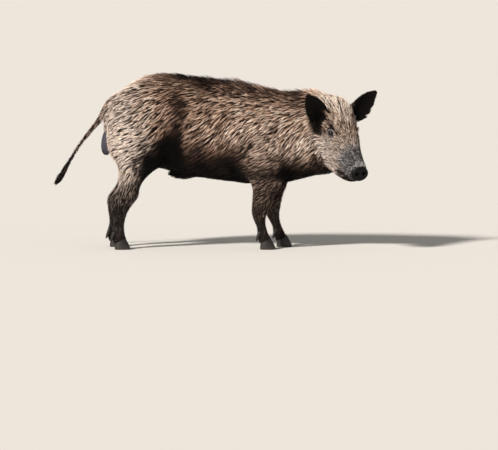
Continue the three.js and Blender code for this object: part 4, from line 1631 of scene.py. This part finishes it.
class Blade:
    """The faces of one tuft and its patch on the bake map, the same for every tuft."""

    POINTS = 10

    @staticmethod
    def faces() -> tuple[Array, Array]:
        """Six side quads, then three tip triangles and the root's cap."""
        spots = [(3 * r + c, 3 * r + (c + 1) % 3) for r in (0, 1) for c in (0, 1, 2)]
        quads = [[a, b, b + 3, a + 3] for a, b in spots]
        tips = [[6 + c, 6 + (c + 1) % 3, 9] for c in (0, 1, 2)]
        return np.array(quads), np.array([*tips, [0, 2, 1]])

    @staticmethod
    def patch(size: float) -> Array:
        """The bake map's offset for every face corner, in the order of the faces."""
        sides = [(c + i, r + j) for r in (0, 1) for c in (0, 1, 2) for i, j in ((0, 0), (1, 0), (1, 1), (0, 1))]
        tips = [(c + i, 2 + j) for c in (0, 1, 2) for i, j in ((0, 0), (1, 0), (0.5, 1))]
        return np.array([*sides, *tips, (0, 0), (1, 0.9), (2, 0)]) * (size / 3)


# ---- materials
def add_node(tree: bpy.types.NodeTree, kind: str, inputs: dict | None = None, **settings: Any) -> bpy.types.Node:
    """Adds one shader node with its settings, values and links.

    Args:
        tree: The material's nodes.
        kind: The node's type name, less the ShaderNode in front.
        inputs: A value, or the node or output to link, for each input by name or number.
        **settings: The node's own properties.

    Returns:
        The node.
    """
    node = tree.nodes.new("ShaderNode" + kind)
    for name, value in settings.items():
        setattr(node, name, value)
    for socket, value in (inputs or {}).items():
        value = value.outputs[0] if isinstance(value, bpy.types.Node) else value
        if isinstance(value, bpy.types.NodeSocket):
            tree.links.new(value, node.inputs[socket])
        else:
            node.inputs[socket].default_value = value
    return node


def new_material(name: str) -> tuple[bpy.types.Material, Callable[..., bpy.types.Node], bpy.types.NodeSocket]:
    """Starts a material.

    Args:
        name: Its name.

    Returns:
        The empty material, add_node() for its nodes, and the place on the surface.
    """
    material = bpy.data.materials.new(name)
    material.use_nodes = True
    material.node_tree.nodes.clear()
    add = partial(add_node, material.node_tree)
    return material, add, add("TexCoord").outputs["Object"]


def finished(material: bpy.types.Material, surface: bpy.types.Node) -> bpy.types.Material:
    """Ends a material in a surface shader and returns it."""
    add_node(material.node_tree, "OutputMaterial", {"Surface": surface})
    return material


def rgba(code: str) -> tuple[float, ...]:
    """A hex colour as linear red, green, blue and full alpha."""
    return (*srgb(code), 1.0)


def body_turn(axes: Array) -> Triple:
    """The Euler turn, x then y then z, of a turning matrix."""
    pitch = -math.asin(max(-1.0, min(1.0, axes[2][0])))
    return math.atan2(axes[2][1], axes[2][2]), pitch, math.atan2(axes[1][0], axes[0][0])


@dataclass(frozen=True)
class Hide:
    """Boar hide: dark skin with short flat hair, moist and pebbled on the nose, smooth on the scrotum."""

    length: float = 22.0  # mm along a short hair
    strand: float = 1.6  # mm across it, drawn about as coarse as it can show
    pebble: float = 2.4  # mm from bump to bump of the nose's skin
    blotch: float = 30.0  # mm across a duller or glossier patch

    def build(self, body: Body) -> bpy.types.Material:
        """Makes the material, with hairs that run along each part."""
        material, add, place = new_material("boar_hide")
        moist, face, leg = (add("Attribute", attribute_name=n).outputs["Fac"] for n in ("moist", "face", "leg"))
        colour = add("Attribute", attribute_name="hide")
        along, across = self.length * MM, self.strand * MM
        strands = []
        for turn, scale in (
            ((0, math.radians(38), 0), (along, across, across)),
            (body_turn(body.head.pose.axes), (along * 0.5, across, across)),
            ((0, 0, 0), (across, across, along * 0.7)),
        ):
            lie = {"Vector": place, "Rotation": turn, "Scale": scale}
            mapped = add("Mapping", lie, vector_type="TEXTURE")
            grain = {"Vector": mapped, "Scale": 1.0, "Detail": 2.0, "Roughness": 0.6}
            strands.append(add("TexNoise", grain))
        first = add("Mix", {"Factor": face, "A": strands[0], "B": strands[1]})
        hair = add("Mix", {"Factor": leg, "A": first, "B": strands[2]})
        cell = {"Vector": place, "Scale": 1 / (self.pebble * MM)}
        cells = add("TexVoronoi", cell, feature="DISTANCE_TO_EDGE")
        pebbles = add("MapRange", {"Value": cells, "From Max": 0.35})
        relief = add("Mix", {"Factor": moist, "A": hair, "B": pebbles})
        spread = {"Value": hair, "From Min": 0.3, "From Max": 0.7, "To Min": 0.5, "To Max": 1.6}
        plain = add("Mix", {"Factor": moist, "A": add("MapRange", spread), "B": 1.0})
        tinted = add("VectorMath", {0: colour, 1: plain}, operation="MULTIPLY")
        patches = add("TexNoise", {"Vector": place, "Scale": 1 / (self.blotch * MM), "Detail": 3.0})
        gloss = add("MapRange", {"Value": moist, "To Min": 0.66, "To Max": 0.36})
        rough = add("Math", {0: patches, 1: 0.14, 2: gloss}, operation="MULTIPLY_ADD")
        depth = add("MapRange", {"Value": moist, "To Min": 0.8 * MM, "To Max": 0.25 * MM})
        bump = add("Bump", {"Height": relief, "Strength": 0.7, "Distance": depth})
        shine = add("MapRange", {"Value": moist, "To Min": 0.15, "To Max": 0.18})
        return finished(material, add("BsdfPrincipled", {
            "Base Color": tinted, "Roughness": rough, "Normal": bump, "IOR": 1.45, "Specular IOR Level": shine,
        }))  # fmt: skip


@dataclass(frozen=True)
class Bristle:
    """Boar bristle, a stiff keratin hair: a soft gloss along it, and darker and lighter bands."""

    band: float = 9.0  # mm between the bands
    roughness: float = 0.46
    dull: float = 0.06  # how much the black underhair shines
    shine: float = 0.5  # how much the lightest tips shine

    def build(self) -> bpy.types.Material:
        """Makes the material from the tufts' own colours."""
        material, add, place = new_material("boar_bristle")
        colour = add("Attribute", attribute_name="bristle")
        bands = add("TexNoise", {"Vector": place, "Scale": 1 / (self.band * MM), "Detail": 2.0})
        shade = {"Value": bands, "From Min": 0.3, "From Max": 0.7, "To Min": 0.78, "To Max": 1.2}
        tinted = add("VectorMath", {0: colour, 1: add("MapRange", shade)}, operation="MULTIPLY")
        dry, sleek = self.roughness + 0.1, self.roughness - 0.1
        rough = add("MapRange", {"Value": bands, "To Min": dry, "To Max": sleek})
        level = add("RGBToBW", {0: colour})
        shine = {"Value": level, "From Max": 0.35, "To Min": self.dull, "To Max": self.shine}
        return finished(material, add("BsdfPrincipled", {
            "Base Color": tinted, "Roughness": rough, "IOR": 1.55,
            "Specular IOR Level": add("MapRange", shine),
        }))  # fmt: skip


@dataclass(frozen=True)
class Horn:
    """Claw horn, keratin grown in rings: near black, scuffed paler towards the sole."""

    fleck: float = 6.0  # mm across a scuff
    dark: str = "15110f"
    scuffed: str = "4a413b"

    def build(self) -> bpy.types.Material:
        """Makes the material, with rings by height and scuffs near the ground."""
        material, add, place = new_material("claw_horn")
        z = add("SeparateXYZ", {0: place}).outputs["Z"]
        fleck = {"Vector": place, "Scale": 1 / (self.fleck * MM), "Detail": 5.0, "Roughness": 0.65}
        flecks = add("TexNoise", fleck)
        ring = {"Vector": place, "Scale": 0.314 / (HORN_RING * MM), "Distortion": 1.5, "Detail": 2.0}
        rings = add("TexWave", ring, bands_direction="Z").outputs["Fac"]
        low = {"Value": z, "From Min": 0.002, "From Max": 0.03, "To Min": 0.75, "To Max": 0.08}
        share = add("Math", {0: add("MapRange", low), 1: flecks}, operation="MULTIPLY")
        blend = {0: share, 6: rgba(self.dark), 7: rgba(self.scuffed)}
        colour = add("Mix", blend, data_type="RGBA").outputs[2]
        height = add("Math", {0: rings, 1: flecks}, operation="ADD")
        bump = add("Bump", {"Height": height, "Strength": 0.5, "Distance": 0.4 * MM})
        rough = add("MapRange", {"Value": flecks, "To Min": 0.32, "To Max": 0.62})
        return finished(material, add("BsdfPrincipled", {
            "Base Color": colour, "Roughness": rough, "Normal": bump, "IOR": 1.55, "Specular IOR Level": 0.35,
        }))  # fmt: skip


@dataclass(frozen=True)
class Eyeball:
    """A live eye: black pupil, dark brown iris with fine rays, a dark ring and a dull white, all wet."""

    pupil: float = 3.1  # mm, the pupil's half height
    ray: float = 1.1  # mm across a ray of the iris
    iris: float = 41  # degrees from the gaze to the iris's edge
    iris_dark: str = "0e0a0a"
    iris_light: str = "261b18"
    ring: str = "0a0605"
    white: str = "6b5a4e"

    def build(self) -> bpy.types.Material:
        """Makes the material from the angle to the gaze and the pupil's measure."""
        material, add, place = new_material("wet_eye")
        polar, slot = (add("Attribute", attribute_name=n).outputs["Fac"] for n in ("polar", "pupil"))
        noise = add("TexNoise", {"Vector": place, "Scale": 1 / (self.ray * MM), "Detail": 3.0})
        rays = add("Math", {0: noise, 1: 5.0, 2: polar}, operation="MULTIPLY_ADD")
        ramp = add("ValToRGB", {"Fac": add("Math", {0: rays, 1: 90.0}, operation="DIVIDE")})
        stops = ramp.color_ramp.elements
        stops[0].position, stops[0].color = 0.1, rgba(self.iris_dark)
        stops[1].position, stops[1].color = 0.78, rgba(self.white)
        edge = self.iris / 90
        for at, code in ((0.3, self.iris_light), (edge, self.iris_dark), (edge + 0.07, self.ring), (0.66, self.white)):
            stops.new(at).color = rgba(code)
        opening = {"Value": slot, "From Min": self.pupil * 0.92, "From Max": self.pupil * 1.08}
        colour = add("VectorMath", {0: ramp, 1: add("MapRange", opening)}, operation="MULTIPLY")
        wet = {"Base Color": colour, "Roughness": 0.04, "IOR": 1.376}
        return finished(material, add("BsdfPrincipled", wet))


@dataclass(frozen=True)
class StudioFloor:
    """A pale matt studio floor."""

    colour: str = "dedad4"

    def build(self) -> bpy.types.Material:
        """Makes the material, with the faintest mottling."""
        material, add, place = new_material("studio_floor")
        mottle = add("TexNoise", {"Vector": place, "Scale": 3.0, "Detail": 4.0})
        rough = add("MapRange", {"Value": mottle, "To Min": 0.7, "To Max": 0.9})
        matt = {"Base Color": rgba(self.colour), "Roughness": rough, "Specular IOR Level": 0.0}
        return finished(material, add("BsdfPrincipled", matt))


# ---- pieces and studio
def add_piece(
    name: str, body: Body, shell: Shell, material: bpy.types.Material, slot: str, **values: Array
) -> bpy.types.Object:
    """Makes a visible piece from a shell in the body's layout.

    Args:
        name: The piece's name.
        body: Places the points in the part's frame.
        shell: Its points and faces, in millimetres.
        material: Its finish.
        slot: Not used.
        **values: What the material reads at each point, a number or, with three columns, a colour.

    Returns:
        The object, which rides on the root body.
    """
    mesh = bpy.data.meshes.new(name)
    fill_mesh(mesh, Shell(body.placed(shell.points), shell.quads, shell.triangles))
    mesh.materials.append(material)
    for value, rows in values.items():
        if rows.ndim == 1:
            mesh.attributes.new(value, "FLOAT", "POINT").data.foreach_set("value", rows.astype(np.float32))
        else:
            full = np.concatenate([rows, np.ones((len(rows), 1))], 1).astype(np.float32)
            mesh.attributes.new(value, "FLOAT_COLOR", "POINT").data.foreach_set("color", full.ravel())
    piece = bpy.data.objects.new(name, mesh)
    bpy.context.scene.collection.objects.link(piece)
    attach(piece, "root")
    log.info("%s: %d points, %d faces", name, len(mesh.vertices), len(mesh.polygons))
    return piece


@dataclass
class Lamp:
    """A far soft light: where it stands, how wide it looks in degrees, its strength and its tint."""

    place: Triple
    angle: float
    strength: float
    tint: Triple

    def build(self, name: str) -> None:
        """Adds the light, turned towards the animal."""
        lamp = bpy.data.lights.new(name, "SUN")
        lamp.angle, lamp.energy, lamp.color = math.radians(self.angle), self.strength, self.tint
        light = bpy.data.objects.new(name, lamp)
        light.location = Vector(self.place) * 3
        light.rotation_euler = Vector(self.place).to_track_quat("Z", "Y").to_euler()
        bpy.context.scene.collection.objects.link(light)


@dataclass
class Studio:
    """The wide pale floor, the soft lights and the camera."""

    view_width: float = 1.992  # metres across the picture at the animal
    aim: tuple[float, float] = (196, 92.2)  # x and z of the picture's middle, in the body's layout
    elevation: float = 4.0
    lens: float = 600.0
    sensor: float = 36.0
    far: float = 200.0  # metres that the camera sees
    floor_half: float = 60.0
    squares: int = 8  # of the floor, along each side
    wall: float = 0.72  # brightness of the air at eye level
    ceiling: float = 0.26  # and overhead
    air: tuple[float, ...] = (1.0, 0.985, 0.965, 1)
    key: Lamp = field(default_factory=lambda: Lamp((-0.85, -1.0, 0.9), 8, 4.8, (1.0, 0.96, 0.91)))
    fill: Lamp = field(default_factory=lambda: Lamp((0.9, -0.7, 0.35), 50, 0.1, (0.9, 0.95, 1.0)))

    def build(self, body: Body) -> None:
        """Adds floor, air, lights and camera."""
        self.floor()
        self.sky()
        self.key.build("key")
        self.fill.build("fill")
        self.camera(body)

    def floor(self) -> None:
        """Lays a wide flat floor as a grid of squares."""
        along = np.linspace(-self.floor_half, self.floor_half, self.squares + 1)
        x, y = np.meshgrid(along, along)
        index = np.arange(x.size).reshape(x.shape)
        quads = stacked(index[:-1, :-1], index[:-1, 1:], index[1:, 1:], index[1:, :-1]).reshape(-1, 4)
        mesh = bpy.data.meshes.new("floor")
        fill_mesh(mesh, Shell(stacked(x.ravel(), y.ravel(), 0.0), quads))
        mesh.materials.append(StudioFloor().build())
        floor = bpy.data.objects.new("floor", mesh)
        bpy.context.scene.collection.objects.link(floor)
        floor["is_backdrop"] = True

    def sky(self) -> None:
        """Makes the air bright at eye level and dimmer overhead."""
        world = bpy.data.worlds.new("studio_air")
        world.use_nodes = True
        tree = world.node_tree
        level = add_node(tree, "SeparateXYZ", {0: add_node(tree, "TexCoord").outputs["Generated"]}).outputs["Z"]
        fade = {"Value": level, "From Max": 0.5, "To Min": self.wall, "To Max": self.ceiling}
        strength = add_node(tree, "MapRange", fade, interpolation_type="SMOOTHSTEP")
        air = add_node(tree, "Background", {"Color": self.air, "Strength": strength})
        add_node(tree, "OutputWorld", {0: air}, is_active_output=True)
        bpy.context.scene.world = world

    def camera(self, body: Body) -> None:
        """Sets a far camera that looks straight across the animal from a little above."""
        scene = bpy.context.scene
        data = bpy.data.cameras.new("camera")
        data.lens, data.sensor_width, data.clip_end = self.lens, self.sensor, self.far
        camera = bpy.data.objects.new("camera", data)
        target = Vector(body.placed(np.array([self.aim[0], 0, self.aim[1]])))
        away = self.view_width / self.sensor * self.lens
        tilt = math.radians(self.elevation)
        camera.location = target + Vector((0, -math.cos(tilt), math.sin(tilt))) * away
        camera.rotation_euler = (math.pi / 2 - tilt, 0, 0)
        scene.collection.objects.link(camera)
        scene.camera = camera
        scene.view_settings.view_transform = "Standard"


# ---- the whole animal
FLESH_NODES = (
    "trunk", "neck", "head", "lower_jaw", "nose_disc", "tail", "ear_left", "ear_right",
    "fore_leg_left", "fore_leg_right", "hind_leg_left", "hind_leg_right",
)  # fmt: skip
COAT_SLOTS = {
    Part.TRUNK: "coat", Part.HEAD: "face_coat", Part.TAIL: "tail_coat",
    Part.EAR_LEFT: "ear_coat", Part.EAR_RIGHT: "ear_coat",
}  # fmt: skip


class Boar:
    """Builds and dresses every visible piece of the animal."""

    def __init__(self) -> None:
        """Makes the body, the skin and the finishes."""
        self.body = Body()
        self.eyes = [Eye(self.body, side) for side in SIDES.values()]
        self.skin = Skin(self.body, self.body.flesh(), self.eyes)
        self.markings = MarkingsAndPaintedLight(self.body, CoatColours())
        self.coat = Coat(self.body, self.skin, self.markings)
        self.bristle = Bristle().build()

    def add_skin(self) -> None:
        """The skin, which stands for all the flesh nodes."""
        shell = self.skin.shell
        shares = self.coat.shares(shell.points)
        hide, _, moist = self.markings.hide(shell.points, shares)
        leg = sum(shares[part] for part in self.body.legs)
        values = {"hide": hide, "moist": moist, "face": shares[Part.HEAD], "leg": leg}
        piece = add_piece("skin", self.body, shell, Hide().build(self.body), "coat", **values)
        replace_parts(piece, *FLESH_NODES)

    def add_eyes(self) -> None:
        """Both eyeballs."""
        material = Eyeball().build()
        for name, eye in zip(SIDES, self.eyes):
            shell, polar, slot = eye.ball()
            piece = add_piece(f"eyeball_{name}", self.body, shell, material, "eye", polar=polar, pupil=slot)
            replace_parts(piece, f"eye_{name}")

    def add_claws(self) -> None:
        """Every claw and dewclaw, each in place of its node."""
        material = Horn().build()
        for part, leg in self.body.legs.items():
            foot = Foot(self.body, leg)
            for name, offset in (("outer", 1), ("inner", -1)):
                for kind, shell in (("claw", foot.claw(offset)), ("dewclaw", foot.dewclaw(offset))):
                    node = f"{kind}_{part.name.lower()}_{name}"
                    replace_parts(add_piece(f"horn_{node}", self.body, shell, material, "claw_horn"), node)

    def add_coat(self) -> None:
        """All tufts, in pieces by place on the body."""
        growth = self.coat.grown()
        log.info("coat: %d tufts", len(growth.root))
        for name, (part, own) in self.coat.pieces(growth).items():
            self.add_tufts(name, part, own)
        for name, side in SIDES.items():
            self.add_tufts(f"whiskers_{name}", Part.HEAD, self.coat.whiskers(side), free=True)

    def add_tufts(self, name: str, part: Part, growth: Growth, free: bool = False) -> None:
        """One piece of coat, with its colours and its bake map.

        Args:
            name: The piece's name.
            part: The part that it grows on.
            growth: Its tufts.
            free: Whether they stand free of the skin.
        """
        points, along = self.coat.blades(growth, free)
        quads, triangles = Blade.faces()
        start = (np.arange(len(points)) * Blade.POINTS)[:, None, None]
        shell = Shell(points.reshape(-1, 3), (quads + start).reshape(-1, 4), (triangles + start).reshape(-1, 3))
        paint, slot = self.coat.paint(growth, along).reshape(-1, 3), COAT_SLOTS.get(part, "leg_coat")
        piece = add_piece(name, self.body, shell, self.bristle, slot, bristle=paint)
        place = self.coat.unwrapped(growth.root, part)[:, None]
        patch = Blade.patch(Coat.PATCH)
        ends = patch[: quads.size], patch[quads.size :]
        flat = np.concatenate([(place + end).reshape(-1, 2) for end in ends])
        layer = piece.data.uv_layers.new(name="OFBake")
        layer.data.foreach_set("uv", flat.astype(np.float32).ravel())


def main() -> None:
    """Builds the studio and the animal, piece by piece, and measures both boxes."""
    logging.basicConfig(level=logging.INFO, format="%(name)s %(message)s")
    cad_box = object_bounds()
    boar = Boar()
    Studio().build(boar.body)
    boar.add_skin()
    boar.add_eyes()
    boar.add_claws()
    boar.add_coat()
    boxes = {"cad": cad_box, "visual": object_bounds()}
    {name: [list(corner) for corner in box] for name, box in boxes.items()}


if __name__ == "__main__":
    main()
